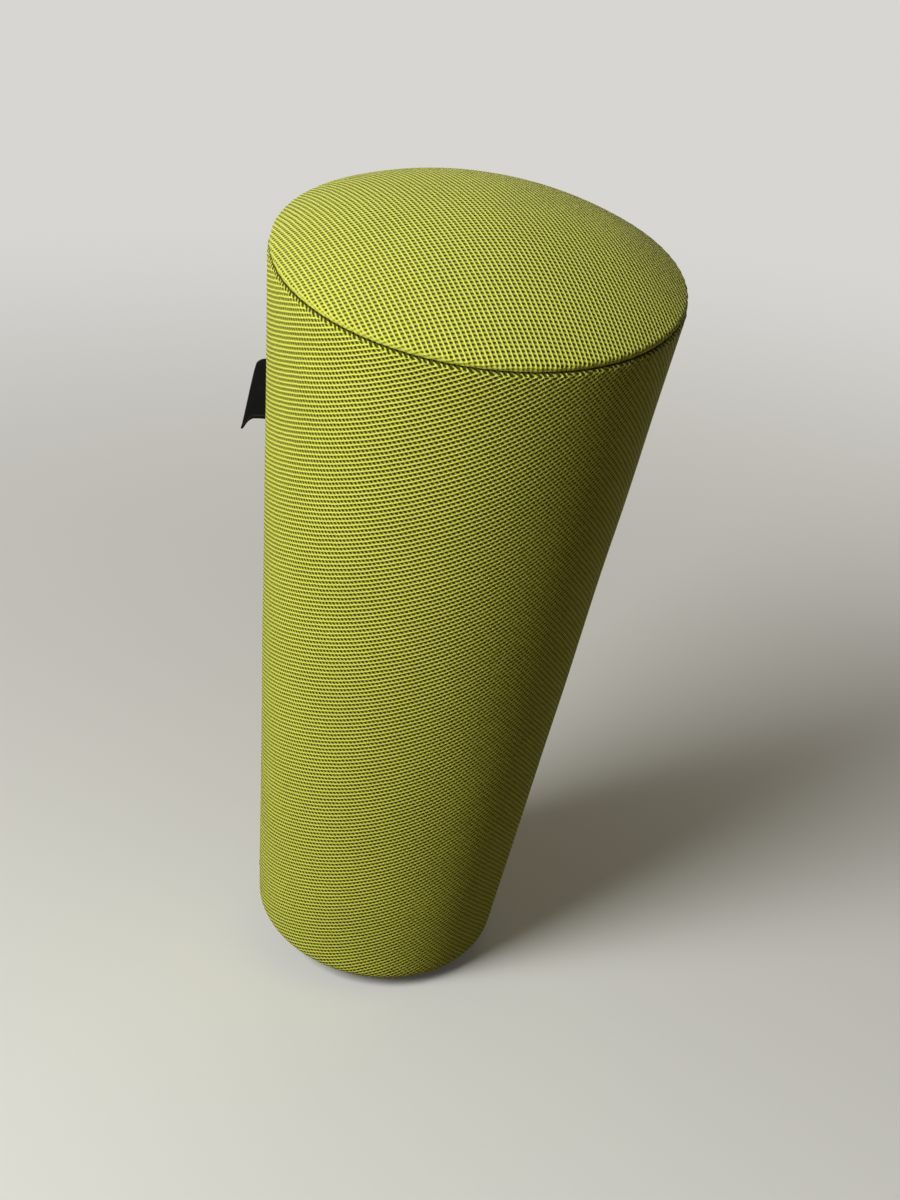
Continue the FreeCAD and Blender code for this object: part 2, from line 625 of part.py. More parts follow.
def make_zip_slider():
    """Slider: two wings joined by a thin neck, turned-down sides, and a lug for the pull."""
    body = new_body("zip_slider", zip_stance(along=number(SLIDER_START)))
    half = "slider_width / 2"
    tail = "slider_tail_width / 2"
    waist = "slider_length / 2"
    wing = [(f"-{tail}", "0"), (tail, "0"), (tail, f"{waist} / 2"), (half, waist), (half, "slider_length"),
            (f"-{half}", "slider_length"), (f"-{half}", waist), (f"-{tail}", f"{waist} / 2")]
    slab(body, "upper_wing", wing, UPPER_WING, UPPER_WING_TOP)
    neck_low = "(slider_length - slider_neck_length)"
    slab(body, "neck", box_points("-slider_neck / 2", "slider_neck / 2", neck_low, "slider_length"),
         f"({LOWER_WING} + slider_wing)", UPPER_WING)
    slab(body, "lower_wing", wing, LOWER_WING, f"({LOWER_WING} + slider_wing)")
    drop = f"({UPPER_WING} - slider_flange_drop)"
    for name, side in (("left_side", "-1"), ("right_side", "1")):
        slab(body, name, box_points(f"{side} * ({half} - slider_flange)", f"{side} * {half}",
                                    waist, "slider_length"), drop, UPPER_WING)
    lug_low = f"({waist} - lug_length / 2)"
    lug_high = f"({waist} + lug_length / 2)"
    slab(body, "lug", box_points("-lug_thickness / 2", "lug_thickness / 2", lug_low, lug_high),
         UPPER_WING_TOP, f"({UPPER_WING_TOP} + lug_height)")
    bore = new_sketch(body, "lug_bore_circle", "XZ_Plane")
    add_circle(bore, PULL_AXIS, "pull_pin_radius + pull_pin_gap", waist)
    extruded(body, "Pocket", "lug_bore", bore, "2 * lug_thickness", symmetric=True)


def make_zip_pull():
    """Pull: a pin through the slider's lug, two arms, and a plate with a hole that hangs below it."""
    body = new_body("zip_pull", zip_stance(number(f"{SLIDER_START} + slider_length / 2"), number(PULL_AXIS)))
    arm_inner = "(lug_thickness / 2 + pull_arm_gap)"
    arm_outer = f"({arm_inner} + pull_arm_width)"
    top = "pull_pin_radius"
    shoulder = "-pull_arm_length"
    foot = "(-pull_arm_length - pull_plate_length)"
    half = "pull_thickness / 2"
    slab(body, "plate", [
        (f"-{arm_outer}", top), (f"-{arm_outer}", foot), (arm_outer, foot), (arm_outer, top),
        (arm_inner, top), (arm_inner, shoulder), (f"-{arm_inner}", shoulder), (f"-{arm_inner}", top)],
        f"-{half}", half)
    pin = new_sketch(body, "pin_circle", "XZ_Plane")
    add_circle(pin, "0", "pull_pin_radius")
    extruded(body, "Pad", "pin", pin, f"2 * {arm_outer}", symmetric=True)
    hole = new_sketch(body, "plate_hole_circle", "YZ_Plane", half)
    add_circle(hole, "0", "pull_hole_radius", f"{foot} + 2 * pull_hole_radius")
    extruded(body, "Pocket", "plate_hole", hole, "pull_thickness")


# ---------------------------------------------------------------- seat

def make_seat_foam():
    """Seat foam: a disc on the board, a neck inside the seam and a dome under the seat cover."""
    body = new_body("seat_foam", stance())
    low = f"({SIDE_TOP} - cover_thickness - fabric_gap)"
    high = f"({SEAT_LIP_TOP} + fabric_gap)"
    neck = f"({TOP_RADIUS} - seam_allowance - binding_clearance - binding_thickness - fabric_gap)"
    skin = "(cover_thickness + fabric_gap)"
    dome = f"({SEAT_RADIUS} - {skin} - fabric_gap)"
    turned(body, "foam", [
        ("0", FOAM_BOTTOM), (f"({side_radius(FOAM_BOTTOM)} - {skin})", FOAM_BOTTOM),
        (f"({side_radius(low)} - {skin})", low), (neck, low), (neck, high), (dome, high),
        (dome, crown_level(skin, dome)), ("0", f"({CROWN} - {skin})")], arcs=(6,))


def make_seat_board():
    """Plywood disc that carries the seat foam, drilled for its screws."""
    body = new_body("seat_board", stance())
    radius = f"({side_radius(SEAT_BOARD_BOTTOM)} - {WALL_INSET} - seat_board_clearance)"
    disc(body, "board", radius, SEAT_BOARD_BOTTOM, SHELL_TOP)
    edges = [(radius, SEAT_BOARD_BOTTOM), (radius, SHELL_TOP)]
    eased(body, "board_edges", edges, "board_chamfer", "Chamfer")
    hole = drilled(body, "pilot_hole", "seat_screw_radius + thread_gap", SEAT_BOARD_BOTTOM,
                   f"({SEAT_BOARD_BOTTOM} + seat_screw_bite + thread_gap)", seat_screw_circle(),
                   BETWEEN_RIBS)
    patterned(body, "pilot_holes", [hole], "seat_screw_count")


def make_seat_screws():
    """Screws up through the ledge into the seat board."""
    body = new_body("seat_screws", stance())
    shank = disc(body, "shank", "seat_screw_radius", LEDGE_BOTTOM,
                 f"({SEAT_BOARD_BOTTOM} + seat_screw_bite)", seat_screw_circle(), BETWEEN_RIBS)
    head = disc(body, "head", "seat_screw_head_radius", f"({LEDGE_BOTTOM} - seat_screw_head_height)",
                LEDGE_BOTTOM, seat_screw_circle(), BETWEEN_RIBS)
    patterned(body, "screws", [shank, head], "seat_screw_count")


# ---------------------------------------------------------------- core

def make_side_padding():
    """Foam wrapped round the shell, with a flat for the zip's tapes and a channel for its slider."""
    body = new_body("side_padding", seam_stance())
    outer = "(cover_thickness + fabric_gap)"
    inner = f"({outer} + padding_thickness)"
    bottom = "(hem_level + hem_round)"
    turned(body, "wrap", [
        (f"({side_radius(bottom)} - {inner})", bottom), (f"({side_radius(bottom)} - {outer})", bottom),
        (f"({side_radius(SHELL_TOP)} - {outer})", SHELL_TOP),
        (f"({side_radius(SHELL_TOP)} - {inner})", SHELL_TOP)])
    top = f"({ZIP_TOP} + stop_length)"
    seam_cut(body, "tape_flat", seam_strip(
        bottom, top, f"(fabric_gap - {TAPE_BACK})", "cover_thickness"), "2 * (tape_reach + fabric_gap)")
    seam_cut(body, "slider_channel", seam_strip(
        bottom, top, f"(padding_channel_slack - {LOWER_WING})", "cover_thickness"),
        "slider_width + 2 * padding_channel_slack")


def make_body_shell():
    """Moulded cone with a bottom flange, a ledge for the seat board and upright ribs."""
    body = new_body("body_shell", stance())
    outside = "(cover_thickness + fabric_gap + padding_thickness + padding_gap)"
    ledge_radius = f"({side_radius(SEAT_BOARD_BOTTOM)} - {WALL_INSET} - ledge_width)"
    turned(body, "wall", [
        ("foot_flange_inner", SHELL_BOTTOM), (f"({side_radius(SHELL_BOTTOM)} - {outside})", SHELL_BOTTOM),
        (f"({side_radius(SHELL_TOP)} - {outside})", SHELL_TOP),
        (f"({side_radius(SHELL_TOP)} - {WALL_INSET})", SHELL_TOP),
        (f"({side_radius(SEAT_BOARD_BOTTOM)} - {WALL_INSET})", SEAT_BOARD_BOTTOM),
        (ledge_radius, SEAT_BOARD_BOTTOM), (ledge_radius, LEDGE_BOTTOM),
        (f"({side_radius(LEDGE_BOTTOM)} - {WALL_INSET})", LEDGE_BOTTOM),
        (f"({side_radius(BASE_BOARD_BOTTOM)} - {WALL_INSET})", BASE_BOARD_BOTTOM),
        ("foot_flange_inner", BASE_BOARD_BOTTOM)])
    rib_low = f"({BASE_BOARD_TOP} + shell_rib_start)"
    wall_middle = "shell_wall / 2"
    sketch = new_sketch(body, "rib_outline", "XZ_Plane")
    add_outline(sketch, [
        (f"({side_radius(rib_low)} - {WALL_INSET} + {wall_middle})", rib_low),
        (f"({side_radius(LEDGE_BOTTOM)} - {WALL_INSET} + {wall_middle})", LEDGE_BOTTOM),
        (f"({side_radius(LEDGE_BOTTOM)} - {WALL_INSET} - shell_rib_depth)", LEDGE_BOTTOM),
        (f"({side_radius(rib_low)} - {WALL_INSET} - shell_rib_depth)", f"({rib_low} + shell_rib_depth)")])
    rib = extruded(body, "Pad", "rib", sketch, "shell_rib_thickness", symmetric=True)
    patterned(body, "ribs", [rib], "shell_rib_count")
    seat_hole = drilled(body, "seat_hole", "seat_screw_radius + screw_clearance", LEDGE_BOTTOM,
                        SEAT_BOARD_BOTTOM, seat_screw_circle(), BETWEEN_RIBS)
    patterned(body, "seat_holes", [seat_hole], "seat_screw_count")
    foot_hole = drilled(body, "foot_hole", "sole_screw_radius + screw_clearance", SHELL_BOTTOM,
                        BASE_BOARD_BOTTOM, "sole_screw_circle")
    patterned(body, "foot_holes", [foot_hole], "sole_screw_count")


def make_base_board():
    """Plywood disc in the foot of the shell, drilled for the ballast bolt and the inserts."""
    body = new_body("base_board", stance())
    radius = f"({side_radius(BASE_BOARD_BOTTOM)} - {WALL_INSET} - base_board_clearance)"
    disc(body, "board", radius, BASE_BOARD_BOTTOM, BASE_BOARD_TOP)
    eased(body, "board_edges", [(radius, BASE_BOARD_BOTTOM), (radius, BASE_BOARD_TOP)],
          "board_chamfer", "Chamfer")
    drilled(body, "bolt_hole", "bolt_radius + bolt_clearance", BASE_BOARD_BOTTOM, BASE_BOARD_TOP)
    hole = drilled(body, "insert_hole", "insert_radius + thread_gap", BASE_BOARD_BOTTOM, BASE_BOARD_TOP,
                   "sole_screw_circle")
    patterned(body, "insert_holes", [hole], "sole_screw_count")


def make_board_inserts():
    """Threaded inserts in the underside of the base board."""
    body = new_body("board_inserts", stance())
    sketch = new_sketch(body, "insert_rings", "XY_Plane", BASE_BOARD_BOTTOM)
    add_circle(sketch, "sole_screw_circle", "insert_radius")
    add_circle(sketch, "sole_screw_circle", "sole_screw_radius + thread_gap")
    insert = extruded(body, "Pad", "insert", sketch, "insert_length")
    patterned(body, "inserts", [insert], "sole_screw_count")


def make_ballast_disc():
    """Iron disc that weighs down the foot."""
    body = new_body("ballast_disc", stance())
    disc(body, "iron", "ballast_radius", BASE_BOARD_TOP, BALLAST_TOP)
    eased(body, "iron_edges", [("ballast_radius", BASE_BOARD_TOP), ("ballast_radius", BALLAST_TOP)],
          "ballast_chamfer", "Chamfer")
    drilled(body, "bolt_hole", "bolt_radius + bolt_clearance", BASE_BOARD_TOP, BALLAST_TOP)


def make_ballast_washer():
    """Washer under the head of the ballast bolt."""
    body = new_body("ballast_washer", stance())
    disc(body, "ring", "washer_radius", BALLAST_TOP, WASHER_TOP)
    drilled(body, "bore", "bolt_radius + bolt_clearance", BALLAST_TOP, WASHER_TOP)


def make_ballast_bolt():
    """Bolt that holds the iron disc to the base board."""
    body = new_body("ballast_bolt", stance())
    disc(body, "shank", "bolt_radius", f"({BASE_BOARD_BOTTOM} - nut_height - bolt_tail)", WASHER_TOP)
    head = new_sketch(body, "head_hexagon", "XY_Plane", WASHER_TOP)
    add_hexagon(head, "bolt_head_width")
    extruded(body, "Pad", "head", head, "bolt_head_height")


def make_ballast_nut():
    """Nut of that bolt, under the base board."""
    body = new_body("ballast_nut", stance())
    hexagon = new_sketch(body, "nut_hexagon", "XY_Plane", f"({BASE_BOARD_BOTTOM} - nut_height)")
    add_hexagon(hexagon, "bolt_head_width")
    extruded(body, "Pad", "nut", hexagon, "nut_height")
    drilled(body, "thread", "bolt_radius + thread_gap", f"({BASE_BOARD_BOTTOM} - nut_height)",
            BASE_BOARD_BOTTOM)


# ---------------------------------------------------------------- foot

def make_sole_carrier():
    """Moulded dish with rings, ribs and screw bosses. Its rim clamps the hem, and the sole snaps on it."""
    body = new_body("sole_carrier", stance())
    ring_inner = "(carrier_ring_radius - carrier_ring_width)"
    hub_inner = "(carrier_hub_radius - carrier_ring_width)"
    groove_low = "(hem_level - bead_drop - sole_gap)"
    groove_high = "(hem_level - bead_drop + bead_height + sole_gap)"
    groove_floor = f"({CARRIER_RADIUS} - bead_depth)"

    def under(radius):
        return (radius, f"({radius} * {SLOPE} + {CARRIER_RISE})")

    def floor(radius):
        return (radius, f"({radius} * {SLOPE} + {DISH_RISE})")

    turned(body, "dish", [
        ("0", under(TIP_EDGE)[1]), under(TIP_EDGE), under(CARRIER_RADIUS), (CARRIER_RADIUS, groove_low),
        (groove_floor, groove_low), (groove_floor, groove_high), (CARRIER_RADIUS, groove_high),
        (CARRIER_RADIUS, "hem_level"), ("carrier_rim_inner", "hem_level"), floor("carrier_rim_inner"),
        floor("carrier_ring_radius"), ("carrier_ring_radius", SHELL_BOTTOM), (ring_inner, SHELL_BOTTOM),
        floor(ring_inner), floor("carrier_hub_radius"), ("carrier_hub_radius", SHELL_BOTTOM),
        (hub_inner, SHELL_BOTTOM), floor(hub_inner), ("0", floor(hub_inner)[1])])
    rib_top = f"({SHELL_BOTTOM} - carrier_rib_drop)"
    hub = "(carrier_hub_radius - carrier_ring_width / 2)"
    ring = "(carrier_ring_radius - carrier_ring_width / 2)"
    sketch = new_sketch(body, "rib_outline", "XZ_Plane")
    add_outline(sketch, [
        (hub, rib_top), (hub, f"({hub} * {SLOPE} + {DISH_RISE} - carrier_wall / 2)"),
        (ring, f"({ring} * {SLOPE} + {DISH_RISE} - carrier_wall / 2)"), (ring, rib_top)])
    rib = extruded(body, "Pad", "rib", sketch, "carrier_rib_thickness", symmetric=True)
    patterned(body, "ribs", [rib], "carrier_rib_count")
    boss_bottom = f"(sole_screw_circle * {SLOPE} + {CARRIER_RISE} + carrier_wall / 2)"
    boss = disc(body, "boss", "sole_boss_radius", boss_bottom, SHELL_BOTTOM, "sole_screw_circle")
    patterned(body, "bosses", [boss], "sole_screw_count")
    hole = drilled(body, "screw_hole", "sole_screw_radius + screw_clearance", "0", SHELL_BOTTOM,
                   "sole_screw_circle")
    patterned(body, "screw_holes", [hole], "sole_screw_count")
    recess = drilled(body, "head_recess", "sole_screw_head_radius + head_clearance", "0",
                     SOLE_SCREW_SEAT, "sole_screw_circle")
    patterned(body, "head_recesses", [recess], "sole_screw_count")


def make_sole_screws():
    """Screws up through the dish and the shell into the inserts."""
    body = new_body("sole_screws", stance())
    tip = f"({BASE_BOARD_BOTTOM} + insert_length)"
    shank = disc(body, "shank", "sole_screw_radius", SOLE_SCREW_SEAT, tip, "sole_screw_circle")
    head = disc(body, "head", "sole_screw_head_radius", f"({SOLE_SCREW_SEAT} - sole_screw_head_height)",
                SOLE_SCREW_SEAT, "sole_screw_circle")
    patterned(body, "screws", [shank, head], "sole_screw_count")


def make_sole():
    """Rubber dish with a rounded point, a straight flank with a tread, and a bead inside its wall."""
    body = new_body("sole", stance())
    wall_inner = "(sole_radius - sole_wall)"
    bead_low = "(hem_level - bead_drop)"
    bead_high = "(hem_level - bead_drop + bead_height)"
    bead_tip = f"({wall_inner} - bead_depth)"
    wall_top = "(hem_level - fabric_gap)"

    def flank(radius, rise="0"):
        return (radius, f"({radius} * {SLOPE} + {rise})")

    turned(body, "dish", [
        ("0", "(sole_tip_radius / cos(lean_angle * 1deg) - sole_tip_radius)"), flank(TIP_EDGE),
        flank("sole_radius"), ("sole_radius", wall_top), (wall_inner, wall_top), (wall_inner, bead_high),
        (bead_tip, bead_high), (bead_tip, bead_low), (wall_inner, bead_low), flank(wall_inner, SOLE_RISE),
        flank(TIP_EDGE, SOLE_RISE), ("0", f"({TIP_EDGE} * {SLOPE} + {SOLE_RISE})")], arcs=(0,))
    eased(body, "sole_edge", [("sole_radius", f"(sole_radius * {SLOPE})")], "sole_edge_round")
    before = solid_volume(body)
    rings = new_sketch(body, "tread_outlines", "XZ_Plane")
    for index in range(int(number("tread_ring_count"))):
        inner = f"(tread_first + {index} * tread_pitch)"
        outer = f"({inner} + tread_width)"
        add_outline(rings, [
            flank(inner, "tread_depth"), flank(inner, "-tread_depth"), flank(outer, "-tread_depth"),
            flank(outer, "tread_depth")])
    groove = body.newObject("PartDesign::Groove", "tread_rings")
    groove.Profile = rings
    groove.ReferenceAxis = (rings, ["V_Axis"])
    groove.Angle = 360
    doc.recompute()
    if solid_volume(body) >= before:
        raise RuntimeError("the tread cuts nothing")
    across = new_sketch(body, "tread_cut_outline", "XZ_Plane", turn="180 / tread_cut_count")
    start = "(tread_first + tread_width / 2)"
    end = "(sole_radius + tread_width)"
    add_outline(across, [
        flank(start, "tread_depth"), flank(start, "-tread_depth"), flank(end, "-tread_depth"),
        flank(end, "tread_depth")])
    cut = extruded(body, "Pocket", "tread_cut", across, "tread_width", symmetric=True)
    patterned(body, "tread_cuts", [cut], "tread_cut_count")


# ---------------------------------------------------------------- build and write

def build():
    """Make every piece."""
    fill_sheet()
    make_top_cover()
    make_side_cover()
    make_seam_binding()
    make_hem_elastic()
    make_flag_label()
    make_zip_tape("zip_tape_left", "-1")
    make_zip_tape("zip_tape_right", "1")
    make_zip_teeth("zip_teeth_left", -1)
    make_zip_teeth("zip_teeth_right", 1)
    make_zip_top_stop()
    make_zip_bottom_stops()
    make_zip_slider()
    make_zip_pull()
    make_seat_foam()
    make_seat_board()
    make_seat_screws()
    make_side_padding()
    make_body_shell()
    make_base_board()
    make_board_inserts()
    make_ballast_disc()
    make_ballast_washer()
    make_ballast_bolt()
    make_ballast_nut()
    make_sole_carrier()
    make_sole_screws()
    make_sole()
    doc.recompute()


def check():
    """Stop if any object failed or any piece is missing, empty or invalid."""
    for item in doc.Objects:
        if "Invalid" in item.State or "Error" in item.State:
            raise RuntimeError(f"{item.Label} failed: {item.State}")
    for label, piece in pieces.items():
        if piece.Shape.isNull() or not piece.Shape.isValid() or not piece.Shape.Solids:
            raise RuntimeError(f"{label} is not a valid solid")


def write():
    """Write one STEP file for each piece."""
    os.makedirs("parts", exist_ok=True)
    for label, piece in pieces.items():
        piece.Shape.exportStep(f"parts/{label}.step")
        box = piece.Shape.BoundBox
        print(f"{label}: {len(piece.Shape.Solids)} solid(s), {piece.Shape.Volume / 1000:.1f} cm3, "
              f"z {box.ZMin:.2f} to {box.ZMax:.2f}")


build()
check()
write()
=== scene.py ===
import json
import math

import bmesh
import bpy
from bpy.props import FloatProperty, FloatVectorProperty, PointerProperty
from mathutils import Matrix, Vector, noise


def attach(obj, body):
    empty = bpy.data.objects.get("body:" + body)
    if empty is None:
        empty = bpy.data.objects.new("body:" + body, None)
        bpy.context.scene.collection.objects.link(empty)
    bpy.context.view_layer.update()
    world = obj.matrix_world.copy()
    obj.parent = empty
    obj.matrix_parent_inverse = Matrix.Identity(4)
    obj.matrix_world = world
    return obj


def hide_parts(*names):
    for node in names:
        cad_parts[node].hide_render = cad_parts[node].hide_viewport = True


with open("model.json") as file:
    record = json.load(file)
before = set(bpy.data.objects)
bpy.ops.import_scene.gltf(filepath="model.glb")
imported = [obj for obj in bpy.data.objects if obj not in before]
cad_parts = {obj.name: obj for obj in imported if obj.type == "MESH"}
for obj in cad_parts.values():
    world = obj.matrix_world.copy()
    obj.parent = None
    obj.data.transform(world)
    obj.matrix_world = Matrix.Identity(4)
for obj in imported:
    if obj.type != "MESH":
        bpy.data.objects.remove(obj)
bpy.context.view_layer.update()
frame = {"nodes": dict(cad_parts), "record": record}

bl_info = {
    "name": "Leaning stool looks",
    "version": (1, 0, 0),
    "blender": (4, 5, 0),
    "location": "View3D > Sidebar > Stool",
    "description": "Dresses the leaning stool in its knitted covers and sets it in a studio",
    "category": "Object",
}

# Every piece is shaped upright, with the stool's axis on Z, and is then leaned over in its mesh.
SEAT_MOUNT = next(mount for mount in frame["record"]["mounts"] if mount["name"] == "seat_top")
SEAT_AXIS = Vector(SEAT_MOUNT["axis"])
LEAN_ANGLE = math.atan2(SEAT_AXIS.x, SEAT_AXIS.z)
LEAN = Matrix.Rotation(LEAN_ANGLE, 4, "Y")
CROWN_LEVEL = Vector(SEAT_MOUNT["pos_m"]).length
BODY = "stool"
CLOTH_MAP = "cloth"
OPENNESS = "openness"
# Attribute that marks the creases along the seams: painted shade in the cloth's colour, and deeper
# pits in its bump.
CREASE_SHADE = "crease_shade"
FULL_TURN = 2 * math.pi
ARC_STEPS = 6


# ---------------------------------------------------------------- sizes and colours

def metres(name, description, default):
    """A property that holds a length."""
    return FloatProperty(name=name, description=description, default=default, unit="LENGTH")


def degrees(name, description, default):
    """A property that holds an angle and is given in degrees."""
    return FloatProperty(
        name=name, description=description, default=math.radians(default), subtype="ANGLE")


def watts(name, description, default):
    """A property that holds a lamp's power."""
    return FloatProperty(name=name, description=description, default=default, unit="POWER")


def number(name, description, default):
    """A property that holds a plain number."""
    return FloatProperty(name=name, description=description, default=default)


def tint(name, description, default):
    """A property that holds a colour."""
    return FloatVectorProperty(
        name=name, description=description, default=default, subtype="COLOR", min=0, max=1)


def direction(name, description, default):
    """A property that holds a direction in the stool's frame."""
    return FloatVectorProperty(name=name, description=description, default=default, subtype="XYZ")


class CoverSizes(bpy.types.PropertyGroup):
    """Sizes of the two knitted covers."""
    top_radius: metres("Seat radius", "Radius at the seam round the seat", 0.150)
    bottom_radius: metres("Foot radius", "Radius of the side where it would meet the hem plane", 0.100)
    hem_level: metres("Hem level", "Underside of the hem above the point of the sole", 0.026)
    side_height: metres("Side height", "From the hem's underside to the top of the side cover", 0.615)
    hem_round: metres("Hem rounding", "Rounding where the side cover turns under", 0.012)
    hem_inner_radius: metres("Hem opening", "Inner radius of the hem that is turned under", 0.0716)
    side_lip_round: metres("Side lip", "Rounding where the side cover turns into the seam", 0.0030)
    seat_lip_round: metres("Seat lip", "Rounding where the seat cover turns into the seam", 0.0015)
    seat_inset: metres("Seat inset", "How far the seat's rim stays in from the side's radius", 0.0003)
    seat_foot_inset: metres(
        "Seat foot inset", "How far the lower edge of the seat's band stays in from the side", 0.0022)
    seat_edge_round: metres("Seat edge", "Rounding between the seat's band and its crown", 0.0032)
    seat_band: metres(
        "Seat band", "Height of the seat's band, up to where it would meet the crown", 0.0048)
    crown_sag: metres("Crown sag", "How far the seat's crown has settled into its foam", 0.0015)
    plain_edge: metres("Plain edge", "How far the seat's band is plain above its rounded lip", 0.0040)
    seam_allowance: metres("Seam allowance", "How deep both covers turn into the seam", 0.009)
    seam_gap: metres("Seam gap", "Between the two turned-in edges", 0.0003)
    cloth_thickness: metres("Cloth thickness", "Thickness that the covers show at their edges", 0.0012)
    pucker: metres("Pucker", "How far the cloth gathers in and out along its seams", 0.00035)


class ZipSizes(bpy.types.PropertyGroup):
    """Sizes of the seam that holds the zip and the label."""
    seam_bearing: degrees(
        "Seam bearing", "Where the seam lies round the stool, from the leaning side", -125)
    start: metres("Zip start", "From the hem plane to the zip's lower end", 0.016)
    length: metres("Zip length", "Length of the zip along the seam", 0.434)
    half_opening: metres("Half opening", "From the zip's middle to the cover's rolled edge", 0.0053)
    fold_depth: metres(
        "Fold depth", "How deep the cover's folded edges reach down beside the zip", 0.0054)
    roll_radius: metres(
        "Edge roll", "Radius of the cover's edge where it turns in beside the zip", 0.0021)
    stitch_inset: metres("Stitch inset", "From the rolled edge to the row of stitches", 0.0034)
    stitch_pitch: metres("Stitch pitch", "From one stitch to the next", 0.0036)
    stitch_length: metres("Stitch length", "Visible length of one stitch", 0.0028)
    thread_radius: metres("Thread radius", "Radius of the sewing thread", 0.00032)
    label_start: metres("Label start", "From the hem plane up to the label", 0.467)
    label_height: metres("Label height", "Height of the label along the seam", 0.050)


class LabelSizes(bpy.types.PropertyGroup):
    """Sizes of the folded cloth label."""
    top_reach: metres("Upper reach", "How far the label's upper end stands out", 0.0076)
    bottom_reach: metres("Lower reach", "How far the label's lower end stands out", 0.0186)
    droop: metres("Droop", "How far its outer lower corner hangs down", 0.0086)
    top_slope: metres("Upper slope", "How far its outer upper corner lies below its root", 0.0040)
    thickness: metres("Thickness", "Thickness of one layer", 0.00045)
    loop: metres("Loop", "Width of the loop at the fold", 0.0011)


class ClothLook(bpy.types.PropertyGroup):
    """Pattern and colours of the knitted spacer cloth."""
    hole_pitch: metres("Hole pitch", "From one hole to the next along a row", 0.00527)
    row_pitch: metres("Row pitch", "From one row of holes to the next", 0.00221)
    side_grain: degrees("Side grain", "Direction of the rows on the flat side panel", -2.3)
    seat_grain: degrees("Seat grain", "Direction of the rows on the flat seat panel", 31)
    seat_stretch: number("Seat stretch", "How much the crown stretches the seat panel", 1.04)
    relief: metres("Relief", "Depth of the knit between its ribs and holes", 0.0019)
    yarn: tint("Yarn", "Colour of the yarn between the ribs", (0.53, 0.55, 0.05))
    # Painted highlight: the rib crests are painted paler than the yarn, in place of the light that
    # catches them.
    crest_highlight: tint("Crest", "Colour of the yarn along the crests of the ribs", (0.76, 0.80, 0.12))
    # Painted shade: the holes are painted this dark colour in place of the shade that falls deep
    # inside them.
    hole_shade: tint("Hollow", "Colour deep in the holes", (0.055, 0.058, 0.002))
    thread: tint("Thread", "Colour of the sewing thread", (0.42, 0.45, 0.07))
    label: tint("Label", "Colour of the label's woven cloth", (0.005, 0.005, 0.006))


class StudioLook(bpy.types.PropertyGroup):
    """Camera and light."""
    lens: number("Lens", "Focal length in millimetres", 63.0)
    camera_place: FloatVectorProperty(
        name="Camera place", description="Where the camera stands", subtype="TRANSLATION",
        default=(1.3026, -0.8213, 1.0691))
    camera_right: direction(
        "Camera right", "Direction of the picture's right", (0.5492, 0.8349, 0.0379))
    camera_down: direction(
        "Camera down", "Direction of the picture's bottom", (0.3857, -0.2129, -0.8978))
    floor: tint("Floor", "Colour of the floor and of the surroundings", (0.68, 0.67, 0.65))
    floor_return: tint(
        "Floor return", "Colour of the light that the floor throws back", (0.14, 0.10, 0.05))
    floor_glow: number(
        "Floor glow", "How much of the far floor's paleness comes without the lamps", 1.0)
    lamp_distance: metres("Lamp distance", "From each lamp to the stool", 2.6)
    key_bearing: degrees(
        "Key bearing", "Where the large lamp stands round the stool, from the leaning side", -79)
    key_rise: degrees("Key rise", "Height of the large lamp above the horizon", 36)
    key_size: metres("Key size", "Side of the large lamp", 1.2)
    key_power: watts("Key power", "Power of the large lamp", 92.0)
    key_colour: tint("Key colour", "Colour of the large lamp", (0.965, 0.985, 0.96))
    fill_bearing: degrees(
        "Fill bearing", "Where the lamp behind the stool stands, from the leaning side", 135)
    fill_rise: degrees("Fill rise", "Height of the lamp behind the stool above the horizon", 12)
    fill_size: metres("Fill size", "Side of the lamp behind the stool", 2.4)
    fill_power: watts("Fill power", "Power of the lamp behind the stool", 14.0)
    fill_colour: tint("Fill colour", "Colour of the lamp behind the stool", (1.0, 0.86, 0.50))
    surround: number("Surround", "Strength of the light that comes from all round", 0.07)
    surround_colour: tint(
        "Surround colour", "Colour of the light that comes from all round", (1.0, 0.88, 0.62))


# ---------------------------------------------------------------- shaping helpers

def rounded_line(corners, spacing):
    """Points (radius, level) along a line through corners (radius, level, rounding)."""
    points = [Vector(corners[0][:2])]
    for before, here, after in zip(corners, corners[1:], corners[2:]):
        corner = Vector(here[:2])
        into = (corner - Vector(before[:2])).normalized()
        onward = (Vector(after[:2]) - corner).normalized()
        turn = math.acos(max(-1, min(1, into.dot(onward))))
        side = math.copysign(1, into.x * onward.y - into.y * onward.x)
        start = corner - into * here[2] * math.tan(turn / 2)
        centre = start + Vector((-into.y, into.x)) * here[2] * side
        points += [
            centre + Matrix.Rotation(side * turn * step / ARC_STEPS, 2) @ (start - centre)
            for step in range(ARC_STEPS + 1)]
    points.append(Vector(corners[-1][:2]))
    line = [points[0]]
    for start, end in zip(points, points[1:]):
        pieces = max(1, math.ceil((end - start).length / spacing))
        line += [start.lerp(end, step / pieces) for step in range(1, pieces + 1)]
    return line


def crown_line(radius, base, crown, steps):
    """Points (radius, level) of a round crown, from its top out to its edge."""
    rise = crown - base
    ball = (radius ** 2 + rise ** 2) / (2 * rise)
    spread = math.asin(radius / ball)
    return [
        Vector((ball * math.sin(spread * step / steps),
                crown - ball + ball * math.cos(spread * step / steps)))
        for step in range(steps + 1)]


def line_lengths(line):
    """Length along a line up to each of its points."""
    lengths = [0.0]
    for start, end in zip(line, line[1:]):
        lengths.append(lengths[-1] + (end - start).length)
    return lengths


